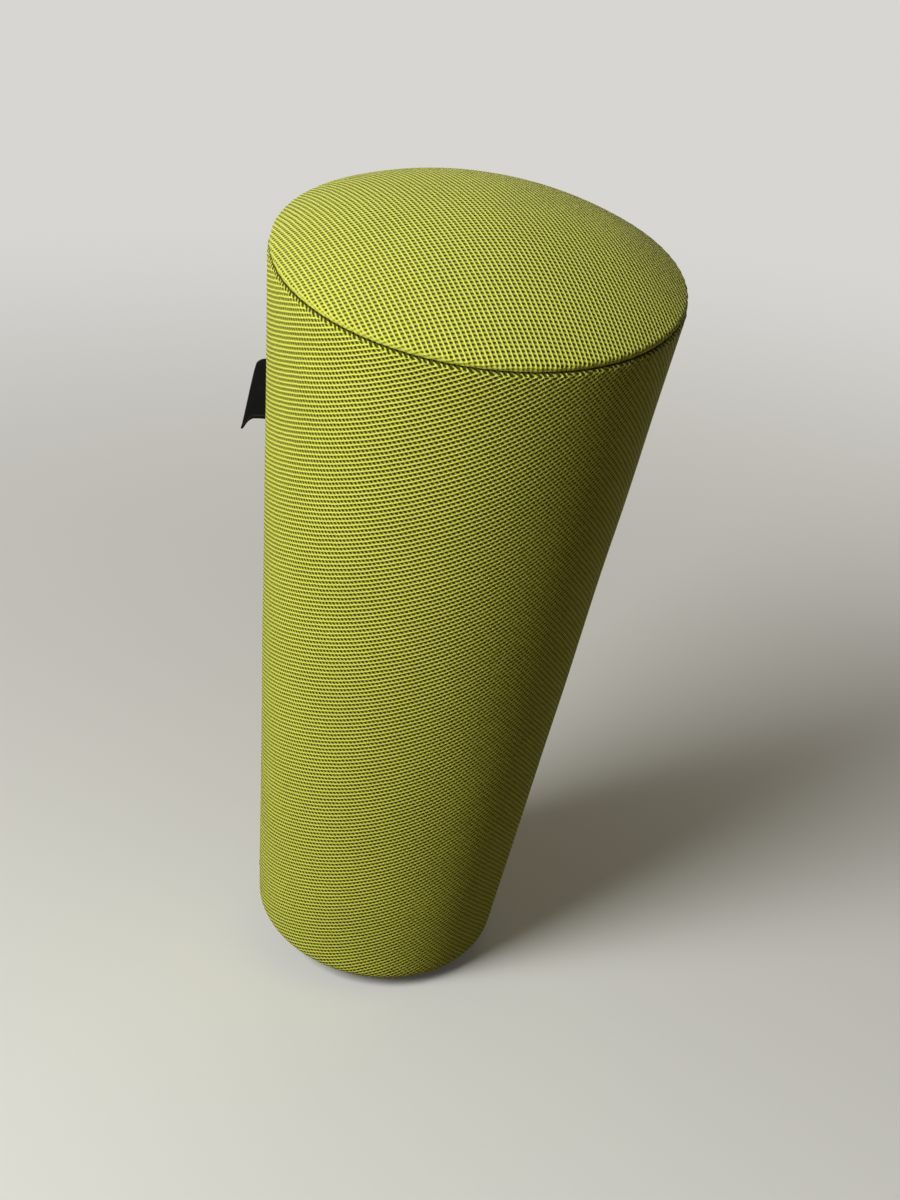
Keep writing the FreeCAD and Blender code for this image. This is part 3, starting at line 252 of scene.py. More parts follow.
def spun(line, turn, steps, closed):
    """A bmesh spun from a line, whose vertices know their length along it and its left side."""
    shape = bmesh.new()
    run = shape.verts.layers.float.new("run")
    left = shape.verts.layers.float_vector.new("left")
    verts = []
    for index, (point, length) in enumerate(zip(line, line_lengths(line))):
        ahead = (line[min(index + 1, len(line) - 1)] - line[max(index - 1, 0)]).normalized()
        vert = shape.verts.new((point.x, 0, point.y))
        vert[run] = length
        vert[left] = (-ahead.y, 0, ahead.x)
        verts.append(vert)
    edges = [shape.edges.new(pair) for pair in zip(verts, verts[1:])]
    bmesh.ops.spin(
        shape, geom=verts + edges, cent=(0, 0, 0), axis=(0, 0, 1), angle=turn, steps=steps,
        use_merge=closed)
    if closed:
        bmesh.ops.remove_doubles(shape, verts=shape.verts, dist=1e-6)
    return shape


def face_outwards(shape, away):
    """Turn a bmesh's faces outwards, which its farthest face in a direction tells for all."""
    bmesh.ops.recalc_face_normals(shape, faces=shape.faces)
    farthest = max(shape.faces, key=lambda face: face.calc_center_median().dot(away))
    if farthest.normal.dot(away) < 0:
        bmesh.ops.reverse_faces(shape, faces=shape.faces)


def lay_flat(shape, flat_place):
    """Give a bmesh its cloth's UV map, in metres, from each vertex's place on the flat panel."""
    cloth = shape.loops.layers.uv.new(CLOTH_MAP)
    for face in shape.faces:
        for loop in face.loops:
            loop[cloth].uv = flat_place(loop.vert)


def smooth_step(value, start=0.0, reach=1.0):
    """Eases from 0 at the start to 1 at a reach past it."""
    value = max(0.0, min(1.0, (value - start) / reach))
    return value * value * (3 - 2 * value)


def placed(name, data):
    """A new object in the scene that shows a mesh, a lamp or a camera."""
    piece = bpy.data.objects.new(name, data)
    bpy.context.scene.collection.objects.link(piece)
    return piece


def finished(shape, name, material, replaced=()):
    """Make a leaned object of a bmesh, with its material, body and CAD nodes."""
    bmesh.ops.transform(shape, matrix=LEAN, verts=shape.verts)
    mesh = bpy.data.meshes.new(name)
    shape.to_mesh(mesh)
    shape.free()
    mesh.polygons.foreach_set("use_smooth", [True] * len(mesh.polygons))
    mesh.materials.append(material)
    piece = placed(name, mesh)
    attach(piece, BODY)
    if replaced:
        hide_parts(*replaced)
    return piece


def thicken(piece, thickness, offset=-1):
    """Give a cloth its thickness: inwards from its outer face, or to both sides with offset 0."""
    wall = piece.modifiers.new("Thickness", "SOLIDIFY")
    wall.thickness = thickness
    wall.offset = offset


# ---------------------------------------------------------------- covers

# Where the knit's holes open and where its creases end. A crease deepens the knit's pits in the bump
# and paints shade into its colour. Each pair is a start and a reach, measured from the cover's rounded
# lip, and for the label's gathers from the edge of the seam.
SIDE_HOLES = (0.0004, 0.0010)
SIDE_CREASE_SHADE = (0.0006, 0.0045)
SEAT_CREASE_SHADE = (0.0006, 0.0022)
LABEL_CREASE_SHADE = (0.0012, 0.0030)


def side_line(sizes):
    """Outline of the side cover, from its turned-under hem up to the seam."""
    top = sizes.hem_level + sizes.side_height
    return rounded_line([
        (sizes.hem_inner_radius, sizes.hem_level, 0),
        (sizes.bottom_radius, sizes.hem_level, sizes.hem_round),
        (sizes.top_radius, top, sizes.side_lip_round),
        (sizes.top_radius - sizes.seam_allowance, top, 0)], spacing=0.008)


def beside_label(zips, level, margin, ease):
    """1 where the label is sewn in and 0 away from it, at a level above the hem plane."""
    half = zips.label_height / 2
    return smooth_step(half + margin - abs(level - zips.label_start - half), reach=ease)


def half_opening(zips, level):
    """Half of the gap between the side cover's edges, at a level above the hem plane."""
    closed, label_gap, label_ease = 0.00008, 0.0004, 0.003
    lower_reserve, lower_ease = 0.0125, 0.004
    upper_reserve, upper_ease = 0.005, 0.005
    below = smooth_step(level - (zips.start - lower_reserve), reach=lower_ease)
    above = smooth_step(zips.start + zips.length + upper_reserve - level, reach=upper_ease)
    beside = beside_label(zips, level, margin=label_ease, ease=label_ease)
    return closed + (zips.half_opening - closed) * below * above + label_gap * beside


def edge_roll(zips, inset):
    """How far the cloth has turned in, at a distance from its rolled edge."""
    missing = max(0.0, zips.roll_radius - inset)
    return zips.roll_radius - math.sqrt(zips.roll_radius ** 2 - missing ** 2)


def seam_gather(sizes, from_seam, around, fade, pitch):
    """How far the cloth stands out where the seat seam gathers it, in folds of one pitch."""
    fullest = 0.010
    height = sizes.pucker * math.exp(-abs(from_seam - fullest) / fade)
    return height * math.sin(around * FULL_TURN / pitch)


def side_column(share, steps):
    """Turn of a column of the side cover, and how far down the folded edge it lies, from 0 to 1.

    Columns crowd towards both edges, and the last two on either side are the fold.
    """
    folds, crowd = 2, 10
    crowded_turn = 0.11
    place = min(share, 1.0) * steps
    mirrored = min(place, steps - place) - folds
    if mirrored <= crowd:
        turn = crowded_turn * (max(0.0, mirrored) / crowd) ** 1.6
    else:
        spread = (mirrored - crowd) / (steps / 2 - folds - crowd)
        turn = crowded_turn + (math.pi - crowded_turn) * spread
    down = max(0.0, -mirrored / folds)
    return (turn if place <= steps / 2 else FULL_TURN - turn), down


def side_unevenness(turn, level):
    """How far the foam under the side cover swells or sinks at a place."""
    height = 0.0007
    swells_round = 2
    swells_per_metre = 9
    return height * noise.noise(Vector((
        math.cos(turn) * swells_round, math.sin(turn) * swells_round, level * swells_per_metre)))


def shape_side(sizes, zips):
    """Bmesh of the side cover: one panel round the cone, whose edges meet at the zip seam."""
    steps = 280
    drawn_turn = 6.0
    edge_fade = 0.045
    seam_calm = 0.04
    label_crease_shade = 0.45
    line = side_line(sizes)
    total = line_lengths(line)[-1]
    shape = spun(line, drawn_turn, steps, closed=False)
    run = shape.verts.layers.float["run"]
    left = shape.verts.layers.float_vector["left"]
    open_share = shape.verts.layers.float.new(OPENNESS)
    crease_shade = shape.verts.layers.float.new(CREASE_SHADE)
    turned = shape.verts.layers.float.new("turned")
    for vert in shape.verts:
        share = (math.atan2(vert.co.y, vert.co.x) % FULL_TURN) / drawn_turn
        turn, down = side_column(share, steps)
        radius = math.hypot(vert.co.x, vert.co.y)
        inward = vert[left]
        level = vert.co.z - sizes.hem_level
        from_edge = radius * min(turn, FULL_TURN - turn)
        inset = from_edge + half_opening(zips, level) * max(0.0, 1 - from_edge / edge_fade)
        depth = edge_roll(zips, from_edge) + down * (zips.fold_depth - zips.roll_radius)
        from_seam = total - vert[run]
        gather = seam_gather(sizes, from_seam, radius * turn, fade=0.006, pitch=0.0135)
        swell = side_unevenness(turn, level) * smooth_step(from_seam, reach=seam_calm)
        radius += gather + swell + depth * inward.x
        around = inset / radius
        place = zips.seam_bearing + (around if turn < math.pi else FULL_TURN - around)
        vert.co = Vector((
            radius * math.cos(place), radius * math.sin(place), vert.co.z + depth * inward.z))
        vert[turned] = turn + math.copysign(down * zips.fold_depth / radius, turn - math.pi)
        from_lip = from_seam - sizes.seam_allowance + sizes.side_lip_round
        vert[open_share] = smooth_step(from_lip, *SIDE_HOLES)
        # Painted shade: beside the label the gathered cloth gets dark dashes through the crease
        # attribute, with deeper pits in the bump.
        gather_shade = label_crease_shade * beside_label(zips, level, margin=0.003, ease=0.006)
        gather_shade *= 1 - smooth_step(from_edge, *LABEL_CREASE_SHADE)
        # Painted shade: the crease under the seam is darkened in the cloth's colour, and its pits are
        # deepened in the bump.
        vert[crease_shade] = max(gather_shade, 1 - smooth_step(from_lip, *SIDE_CREASE_SHADE))
    face_outwards(shape, Vector((-math.cos(zips.seam_bearing), -math.sin(zips.seam_bearing), 0)))
    narrowing = sizes.top_radius - sizes.bottom_radius
    spread = narrowing / math.hypot(narrowing, sizes.side_height)
    apex = sizes.bottom_radius / spread - (sizes.bottom_radius - sizes.hem_inner_radius)

    def unrolled(vert):
        """Place of a vertex on the cone's panel when that lies flat."""
        angle = (vert[turned] - math.pi) * spread
        reach = apex + vert[run]
        return reach * math.sin(angle), reach * math.cos(angle) - apex

    lay_flat(shape, unrolled)
    return shape


def seat_line(sizes):
    """Outline of the seat cover, from its crown out to the seam."""
    seam = sizes.hem_level + sizes.side_height + sizes.seam_gap
    base = seam + sizes.seat_band
    radius = sizes.top_radius - sizes.seat_inset
    foot = sizes.top_radius - sizes.seat_foot_inset
    crown = crown_line(radius, base, CROWN_LEVEL - sizes.crown_sag, steps=40)
    rounding_starts = -4
    edge = rounded_line([
        (*crown[rounding_starts], 0), (radius, base, sizes.seat_edge_round),
        (foot, seam, sizes.seat_lip_round),
        (sizes.top_radius - sizes.seam_allowance, seam, 0)], spacing=0.003)
    return crown[:rounding_starts] + edge


def shape_seat(sizes):
    """Bmesh of the seat cover: a crowned round panel turned into the seam."""
    swell_height = 0.0010
    swells_per_metre = 11
    swell_start, swell_reach = 0.015, 0.05
    bare_middle = 0.01
    lip_end = 3 * sizes.seat_lip_round
    line = seat_line(sizes)
    total = line_lengths(line)[-1]
    shape = spun(line, FULL_TURN, steps=300, closed=True)
    run = shape.verts.layers.float["run"]
    open_share = shape.verts.layers.float.new(OPENNESS)
    crease_shade = shape.verts.layers.float.new(CREASE_SHADE)
    for vert in shape.verts:
        turn = math.atan2(vert.co.y, vert.co.x)
        radius = math.hypot(vert.co.x, vert.co.y)
        from_seam = total - vert[run]
        gather = seam_gather(sizes, from_seam, sizes.top_radius * turn, fade=0.005, pitch=0.0124)
        if radius > bare_middle:
            vert.co.x *= 1 + gather / radius
            vert.co.y *= 1 + gather / radius
        swell = swell_height * noise.noise(Vector((
            vert.co.x * swells_per_metre, vert.co.y * swells_per_metre, 0)))
        vert.co.z += swell * smooth_step(from_seam, swell_start, swell_reach)
        from_lip = from_seam - sizes.seam_allowance + sizes.seat_foot_inset + 2 * sizes.seat_lip_round
        vert[open_share] = smooth_step(from_lip, lip_end, sizes.plain_edge)
        # Painted shade: the seat's crease along the seam is darkened in the cloth's colour, and its
        # pits are deepened in the bump.
        vert[crease_shade] = 1 - smooth_step(from_lip, *SEAT_CREASE_SHADE)
    face_outwards(shape, Vector((0, 0, 1)))

    def unrolled(vert):
        """Place of a vertex on the round panel when that lies flat."""
        turn = math.atan2(vert.co.y, vert.co.x)
        return vert[run] * math.cos(turn), vert[run] * math.sin(turn)

    lay_flat(shape, unrolled)
    return shape


# ---------------------------------------------------------------- label and stitches

LABEL_WIDTH = 0.036


def seam_place(sizes, zips, level, out, across):
    """A place on the seam: level above the hem plane, out of the cover and across the seam."""
    radius = sizes.bottom_radius + (sizes.top_radius - sizes.bottom_radius) * level / sizes.side_height
    local = Vector((radius + out, across, sizes.hem_level + level))
    return Matrix.Rotation(zips.seam_bearing, 3, "Z") @ local


def shape_label(sizes, zips, label):
    """Bmesh of the label: a strip folded into a flat loop, sewn into the seam by both ends.

    Outward runs from 0 in the seam to 1 at the fold, and up from 0 to 1. Their powers say how near
    the fold or the corners each bend gathers.
    """
    sewn_in = 0.0018
    ripple_height, ripple_turn, ripple_start = 0.0006, 7.5, 0.6
    curl_height = 0.0045
    flattest = 0.35
    tail_start, tail_reach = 0.50, 0.42
    shape = bmesh.new()
    bmesh.ops.create_grid(shape, x_segments=36, y_segments=24, size=0.5)
    lay_flat(shape, lambda vert: (
        (vert.co.x + 0.5) * LABEL_WIDTH, (vert.co.y + 0.5) * zips.label_height))
    for vert in shape.verts:
        along = vert.co.x * 2
        up = vert.co.y + 0.5
        outward = 1 - abs(along) ** 1.5
        reach = label.bottom_reach + (label.top_reach - label.bottom_reach) * up ** 0.8
        fold = math.copysign(1, along) * math.sqrt(max(0.0, 1 - (1 - abs(along)) ** 2.2))
        tail = min(1.0, max(0.0, outward - tail_start) / tail_reach) ** 2.2
        sag = label.droop * (1 - up) ** 3 * tail + label.top_slope * up ** 5 * outward ** 3
        ripple = ripple_height * math.sin(up * ripple_turn + ripple_start) * outward
        curl = curl_height * (1 - up) ** 2 * outward ** 2
        width = label.loop * (flattest + (1 - flattest) * outward)
        vert.co = seam_place(
            sizes, zips, zips.label_start + zips.label_height * up - sag,
            -sewn_in + (reach + sewn_in) * outward, fold * width + ripple + curl)
    bmesh.ops.recalc_face_normals(shape, faces=shape.faces)
    return shape


def shape_stitches(sizes, zips):
    """Bmesh of the two rows of stitches beside the zip."""
    first_stitch = 0.004
    bare_length = 0.006
    shape = bmesh.new()
    count = int((zips.length - bare_length) / zips.stitch_pitch)
    tilt = math.atan2(sizes.top_radius - sizes.bottom_radius, sizes.side_height)
    upright = Matrix.Rotation(zips.seam_bearing, 4, "Z") @ Matrix.Rotation(tilt, 4, "Y")
    scale = Matrix.Diagonal((
        zips.thread_radius, zips.thread_radius * 1.3, zips.stitch_length / 2, 1))
    for side in (-1, 1):
        for index in range(count):
            level = zips.start + first_stitch + index * zips.stitch_pitch
            across = side * (half_opening(zips, level) + zips.stitch_inset)
            place = seam_place(sizes, zips, level, 0.0, across)
            drop = math.hypot(place.x, place.y) - math.hypot(*seam_place(sizes, zips, level, 0, 0).xy)
            place -= Vector((place.x, place.y, 0)).normalized() * drop
            bmesh.ops.create_uvsphere(
                shape, u_segments=8, v_segments=6, radius=1,
                matrix=Matrix.Translation(place) @ upright @ scale)
    return shape


# ---------------------------------------------------------------- materials

class Graph:
    """Short ways to add and join the nodes of one material."""

    def __init__(self, name, roughness, metallic=0.0):
        self.material = bpy.data.materials.new(name)
        self.material.use_nodes = True
        self.tree = self.material.node_tree
        self.shader = self.tree.nodes["Principled BSDF"]
        self.shade("Roughness", roughness)
        self.shade("Metallic", metallic)

    def add(self, kind, inputs=(), **settings):
        """Add a node, set its properties, and fill or join its inputs by name or number."""
        node = self.tree.nodes.new(kind)
        for name, value in settings.items():
            setattr(node, name, value)
        for name, value in dict(inputs).items():
            self.put(value, node.inputs[name])
        return node

    def put(self, value, target):
        """Join an output to an input, or write a value into it."""
        if isinstance(value, bpy.types.NodeSocket):
            self.tree.links.new(value, target)
        else:
            target.default_value = value

    def shade(self, name, value):
        """Set or join one of the shader's inputs."""
        self.put(value, self.shader.inputs[name])

    def math(self, operation, first, second=0.0, third=0.0):
        """One Math node."""
        node = self.add("ShaderNodeMath", {0: first, 1: second, 2: third}, operation=operation)
        return node.outputs[0]

    def times(self, first, second):
        """One value times another."""
        return self.math("MULTIPLY", first, second)

    def ramp(self, value, low, high, out_low=0.0, out_high=1.0):
        """Ease a value from one range to another."""
        node = self.add(
            "ShaderNodeMapRange", {0: value, 1: low, 2: high, 3: out_low, 4: out_high},
            interpolation_type="SMOOTHSTEP")
        return node.outputs[0]

    def blend(self, share, low, high):
        """Mix two colours."""
        node = self.add("ShaderNodeMix", data_type="RGBA")
        self.put(share, node.inputs[0])
        self.put(low, node.inputs[6])
        self.put(high, node.inputs[7])
        return node.outputs[2]

    def wave(self, turns):
        """A wave from 0 to 1 that is highest at each whole number of turns."""
        cosine = self.math("COSINE", self.times(turns, FULL_TURN))
        return self.math("MULTIPLY_ADD", cosine, 0.5, 0.5)

    def parts(self, place):
        """The three coordinates of a place."""
        return self.add("ShaderNodeSeparateXYZ", {0: place}).outputs[:]

    def crossing(self, first, second, pitch):
        """Threads that run across two coordinates at a pitch: from 0 between them to 1 on top."""
        waves = [self.math("SINE", self.times(way, FULL_TURN / pitch)) for way in (first, second)]
        return self.ramp(self.times(*waves), low=-1.0, high=1.0)

    def fuzzy(self, height, place, cells):
        """A height with fibres on it, at a number of cells per metre."""
        fibre_share = 0.3
        fibre = self.noise(place, scale=cells, roughness=0.6)
        return self.math("MULTIPLY_ADD", fibre, fibre_share, self.times(height, 1 - fibre_share))

    def noise(self, place, scale, detail=2.0, roughness=0.5):
        """Noise at a number of cells per metre."""
        node = self.add("ShaderNodeTexNoise", {
            "Vector": place, "Scale": scale, "Detail": detail, "Roughness": roughness})
        return node.outputs[0]

    def cloth_place(self):
        """The piece's own cloth coordinates, in metres."""
        return self.add("ShaderNodeUVMap", uv_map=CLOTH_MAP).outputs[0]

    def object_place(self):
        """Coordinates in the stool's frame, in metres."""
        return self.add("ShaderNodeTexCoord").outputs["Object"]

    def upright_place(self):
        """Coordinates in the stool's frame, leaned back so that Z is the stool's axis."""
        node = self.add("ShaderNodeMapping", {
            "Vector": self.object_place(), "Rotation": (0, LEAN_ANGLE, 0)}, vector_type="TEXTURE")
        return node.outputs[0]

    def bump(self, height, distance):
        """Raise the surface by a height from 0 to 1, times a distance in metres."""
        node = self.add("ShaderNodeBump", {"Height": height, "Distance": distance, "Strength": 1.0})
        self.shade("Normal", node.outputs[0])

    def colour(self, value):
        """Set or join the base colour."""
        self.shade("Base Color", value)


def full(colour, factor=1.0):
    """A colour with its fourth number, made lighter or darker."""
    return (*[min(1.0, part * factor) for part in colour], 1.0)


def spacer_cloth(look, name, grain, stretch, slant, bloom):
    """Knitted spacer cloth: slanting ribs of yarn, with a row of deep holes in each valley between.

    A slant of 1 leans the ribs to the left of the rows of holes, and -1 to the right. Bloom is the
    share of fuzz on the yarn.
    """
    waver, unevenness = 0.14, 0.34
    rim, floor = 0.34, 0.60
    valley_depth, gap_depth, pit_depth, fibre_height = 0.20, 0.16, 0.85, 0.10
    highlight_share = 0.55
    dash_start, dash_full = 0.05, 0.5
    shade_start, shade_full = 0.78, 0.94
    graph = Graph(name, roughness=0.62)
    place = graph.cloth_place()
    turned = graph.add("ShaderNodeMapping", {
        "Vector": place, "Rotation": (0, 0, grain),
        "Scale": (look.hole_pitch * stretch, 2 * look.row_pitch * stretch, 1)}, vector_type="TEXTURE")
    wander = graph.add("ShaderNodeTexNoise", {"Vector": place, "Scale": 90.0, "Detail": 1.0})
    drift = graph.add("ShaderNodeVectorMath", {0: wander.outputs["Color"], 1: (0.5, 0.5, 0.5)},
                      operation="SUBTRACT")
    small = graph.add("ShaderNodeVectorMath", {0: drift.outputs[0], "Scale": waver}, operation="SCALE")
    moved = graph.add("ShaderNodeVectorMath", {0: turned.outputs[0], 1: small.outputs[0]},
                      operation="ADD")
    along, across = graph.parts(moved.outputs[0])[:2]
    openness = graph.add("ShaderNodeAttribute", attribute_name=OPENNESS).outputs["Fac"]
    folded = graph.add("ShaderNodeAttribute", attribute_name=CREASE_SHADE).outputs["Fac"]

    # Valleys run between the ribs, and gaps cross them: a hole opens where both are deep.
    valley = graph.wave(graph.math("MULTIPLY_ADD", across, -slant, along))
    gap = graph.wave(graph.math("MULTIPLY_ADD", across, slant, along))
    opened = graph.times(graph.times(valley, gap), openness)
    # Dark dashes in the gaps near the seam: painted shade under the overhang, and deeper pits in the
    # bump.
    dash = graph.times(gap, graph.ramp(folded, dash_start, dash_full))
    pit = graph.math("MAXIMUM", dash, opened)
    blotches = graph.noise(place, scale=210.0, detail=1.0)
    uneven = graph.math("MULTIPLY_ADD", blotches, unevenness, -unevenness / 2)
    hole = graph.ramp(graph.math("ADD", pit, uneven), rim, floor)

    fibre = graph.noise(place, scale=2600.0, roughness=0.6)
    crown = graph.math("MULTIPLY_ADD", valley, -valley_depth, 1.0)
    rib = graph.math("SUBTRACT", crown, graph.times(gap, gap_depth))
    pitted = graph.math("SUBTRACT", rib, graph.times(pit, pit_depth))
    graph.bump(graph.math("MULTIPLY_ADD", fibre, fibre_height, pitted), look.relief)

    tone = graph.ramp(graph.noise(place, scale=14.0, detail=3.0, roughness=0.6), low=0.3, high=0.7)
    plain = graph.blend(tone, full(look.yarn, 0.95), full(look.yarn, 1.05))
    # Painted highlight: the yarn is painted paler along the crests of the ribs, where the light would
    # catch them.
    crest_highlight = graph.times(graph.ramp(valley, 0.0, 0.7, 1.0, 0.0), highlight_share)
    raised = graph.blend(crest_highlight, plain, full(look.crest_highlight))
    # Painted shade: near the seam the crease is painted in the dark colour of the holes.
    shaded = graph.math("MAXIMUM", hole, graph.ramp(folded, shade_start, shade_full))
    # Painted shade: the holes and the creases get the dark colour of the holes, in place of the shade
    # in them.
    graph.colour(graph.blend(shaded, raised, full(look.hole_shade)))
    graph.shade("Specular IOR Level", 0.10)
    graph.shade("Sheen Weight", bloom)
    graph.shade("Sheen Roughness", 0.5)
    graph.shade("Sheen Tint", full((0.85, 0.85, 0.45)))
    return graph.material


def woven_cloth(name, colour, pitch, roughness, border=None):
    """Plain woven cloth, with a raised border line where one is asked for.

    A border is its lower edge, its upper edge and its colour.
    """
    border_edge, border_height = 0.0003, 0.6
    graph = Graph(name, roughness)
    place = graph.cloth_place()
    across, along = graph.parts(place)[:2]
    height = graph.fuzzy(graph.crossing(across, along, pitch), place, cells=3000.0)
    tone = graph.ramp(graph.noise(place, scale=60.0, detail=3.0), low=0.3, high=0.7)
    base = graph.blend(tone, full(colour, 0.8), full(colour, 1.35))
    if border:
        low, high, shade = border
        above = graph.ramp(along, low, low + border_edge)
        below = graph.ramp(along, high, high + border_edge, 1.0, 0.0)
        inside = graph.times(above, below)
        base = graph.blend(inside, base, full(shade))
        height = graph.math("MULTIPLY_ADD", inside, border_height, height)
    graph.colour(base)
    graph.bump(height, distance=0.00025)
    graph.shade("Specular IOR Level", 0.12)
    return graph.material


def ribbed_tape(name, colour, pitch, roughness, depth):
    """Woven tape, braid or thread with slanting ribs, on coordinates along the stool's axis."""
    valley_share = 0.5
    graph = Graph(name, roughness)
    place = graph.upright_place()
    out, across, along = graph.parts(place)
    slant = graph.math("ADD", graph.math("ADD", out, across), along)
    ribs = graph.crossing(slant, graph.math("SUBTRACT", along, out), pitch)
    tone = graph.blend(graph.noise(place, scale=40.0), full(colour, 0.85), full(colour, 1.12))
    graph.colour(graph.blend(graph.times(ribs, valley_share), full(colour, 0.62), tone))
    graph.bump(graph.fuzzy(ribs, place, cells=2500.0), depth)
    graph.shade("Sheen Weight", 0.12)
    return graph.material


def moulded(name, colour, roughness, grain=900.0, depth=0.00008, worn=0.0):
    """Moulded plastic or rubber with a fine grain and slightly uneven gloss."""
    dust_colour = (0.16, 0.15, 0.14)
    glossier, duller = 0.06, 0.08
    graph = Graph(name, roughness)
    place = graph.object_place()
    fine = graph.noise(place, scale=grain, detail=3.0, roughness=0.6)
    broad = graph.noise(place, scale=22.0, detail=4.0, roughness=0.6)
    dust = graph.times(graph.ramp(broad, low=0.45, high=0.75), worn)
    tone = graph.blend(broad, full(colour, 0.85), full(colour, 1.2))
    graph.colour(graph.blend(dust, tone, full(dust_colour)))
    graph.shade("Roughness", graph.ramp(
        broad, 0.3, 0.7, roughness - glossier, min(1.0, roughness + duller)))
    graph.bump(fine, depth)
    return graph.material


def brushed(name, colour, roughness, metallic=1.0):
    """Metal with fine drawn lines and small marks."""
    glossiest, dullest = 0.8, 1.3
    graph = Graph(name, roughness, metallic)
    lines = graph.add("ShaderNodeMapping", {
        "Vector": graph.upright_place(), "Scale": (60, 60, 1500)})
    streak = graph.noise(lines.outputs[0], scale=1.0, detail=3.0, roughness=0.6)
    marks = graph.noise(graph.object_place(), scale=160.0, detail=4.0, roughness=0.65)
    marked = graph.ramp(marks, low=0.35, high=0.7)
    graph.colour(graph.blend(marked, full(colour, 0.82), full(colour, 1.08)))
    graph.shade("Roughness", graph.ramp(
        streak, 0.2, 0.8, roughness * glossiest, min(1.0, roughness * dullest)))
    graph.bump(streak, distance=0.00002)
    return graph.material


def cast_iron(name, colour):
    """Painted casting with a coarse skin."""
    graph = Graph(name, roughness=0.6, metallic=0.2)
    coarse = graph.noise(graph.object_place(), scale=380.0, detail=4.0, roughness=0.65)
    graph.colour(graph.blend(coarse, full(colour, 0.7), full(colour, 1.4)))
    graph.bump(coarse, distance=0.0003)
    return graph.material


def plywood(name):
    """Birch plywood: grained faces and dark glue lines between its layers."""
    layer_pair = 0.0028
    dark_grain, light_grain, glue = (0.50, 0.34, 0.18), (0.68, 0.51, 0.31), (0.22, 0.12, 0.06)
    graph = Graph(name, roughness=0.55)
    place = graph.upright_place()
    stretched = graph.add("ShaderNodeMapping", {"Vector": place, "Scale": (14, 160, 160)})
    grain = graph.noise(stretched.outputs[0], scale=1.0, detail=5.0, roughness=0.6)
    layers = graph.math("SINE", graph.times(graph.parts(place)[2], FULL_TURN / layer_pair))
    face = graph.blend(graph.ramp(grain, low=0.3, high=0.7), full(dark_grain), full(light_grain))
    graph.colour(graph.blend(graph.ramp(layers, 0.55, 0.95, 0.0, 0.5), face, full(glue)))
    graph.bump(grain, distance=0.0001)
    return graph.material


def open_foam(name, colour):
    """Foam with open cells."""
    unevenness = 0.2
    graph = Graph(name, roughness=0.9)
    place = graph.object_place()
    cells = graph.add("ShaderNodeTexVoronoi", {"Vector": place, "Scale": 700.0}).outputs[0]
    wall = graph.ramp(cells, low=0.1, high=0.7)
    graph.colour(graph.blend(wall, full(colour, 0.7), full(colour, 1.1)))
    tone = graph.noise(place, scale=20.0)
    graph.bump(graph.math("MULTIPLY_ADD", tone, unevenness, cells), distance=0.0006)
    return graph.material


def dress(nodes, material):
    """Give CAD nodes a material."""
    for name in nodes:
        node = frame["nodes"][name]
        node.data.materials.clear()
        node.data.materials.append(material)


# ---------------------------------------------------------------- operators

class STOOL_OT_side_cover(bpy.types.Operator):
    """Makes the tapered side cover, with its zip opening and its cloth laid out flat"""
    bl_idname = "stool.side_cover"
    bl_label = "Side cover"

    def execute(self, context):
        scene = context.scene
        sizes, zips, look = scene.stool_cover, scene.stool_zip, scene.stool_cloth
        cloth = spacer_cloth(
            look, "spacer_cloth_side", look.side_grain, stretch=1.0, slant=1, bloom=0.08)
        piece = finished(shape_side(sizes, zips), "side_cloth", cloth, ["side_cover"])
        thicken(piece, sizes.cloth_thickness)
        slant = math.hypot(sizes.side_height, sizes.top_radius - sizes.bottom_radius)
        turned_under = sizes.bottom_radius - sizes.hem_inner_radius
        area = math.pi * (sizes.top_radius + sizes.bottom_radius) * slant
        area += FULL_TURN * sizes.top_radius * sizes.seam_allowance
        area += FULL_TURN * sizes.bottom_radius * turned_under
        return {"FINISHED"}


class STOOL_OT_seat_cover(bpy.types.Operator):
    """Makes the crowned seat cover"""
    bl_idname = "stool.seat_cover"
    bl_label = "Seat cover"

    def execute(self, context):
        sizes, look = context.scene.stool_cover, context.scene.stool_cloth
        cloth = spacer_cloth(
            look, "spacer_cloth_seat", look.seat_grain, look.seat_stretch, slant=-1, bloom=0.24)
        piece = finished(shape_seat(sizes), "seat_cloth", cloth, ["top_cover"])
        thicken(piece, sizes.cloth_thickness)
        return {"FINISHED"}


class STOOL_OT_label(bpy.types.Operator):
    """Makes the folded cloth label in the zip seam"""
    bl_idname = "stool.label"
    bl_label = "Label"

    def execute(self, context):
        scene = context.scene
        shape = shape_label(scene.stool_cover, scene.stool_zip, scene.stool_label)
        border = (0.0022, 0.0032, (0.03, 0.03, 0.033))
        cloth = woven_cloth(
            "label_satin", scene.stool_cloth.label, pitch=0.0005, roughness=0.80, border=border)
        piece = finished(shape, "label_cloth", cloth, ["flag_label"])
        thicken(piece, scene.stool_label.thickness, offset=0)
        return {"FINISHED"}


class STOOL_OT_stitches(bpy.types.Operator):
    """Makes the rows of stitches beside the zip"""
    bl_idname = "stool.stitches"
    bl_label = "Zip stitches"

    def execute(self, context):
        scene = context.scene
        thread = ribbed_tape(
            "sewing_thread", scene.stool_cloth.thread, pitch=0.0006, roughness=0.6, depth=0.00006)
        shape = shape_stitches(scene.stool_cover, scene.stool_zip)
        finished(shape, "zip_stitches", thread)
        return {"FINISHED"}


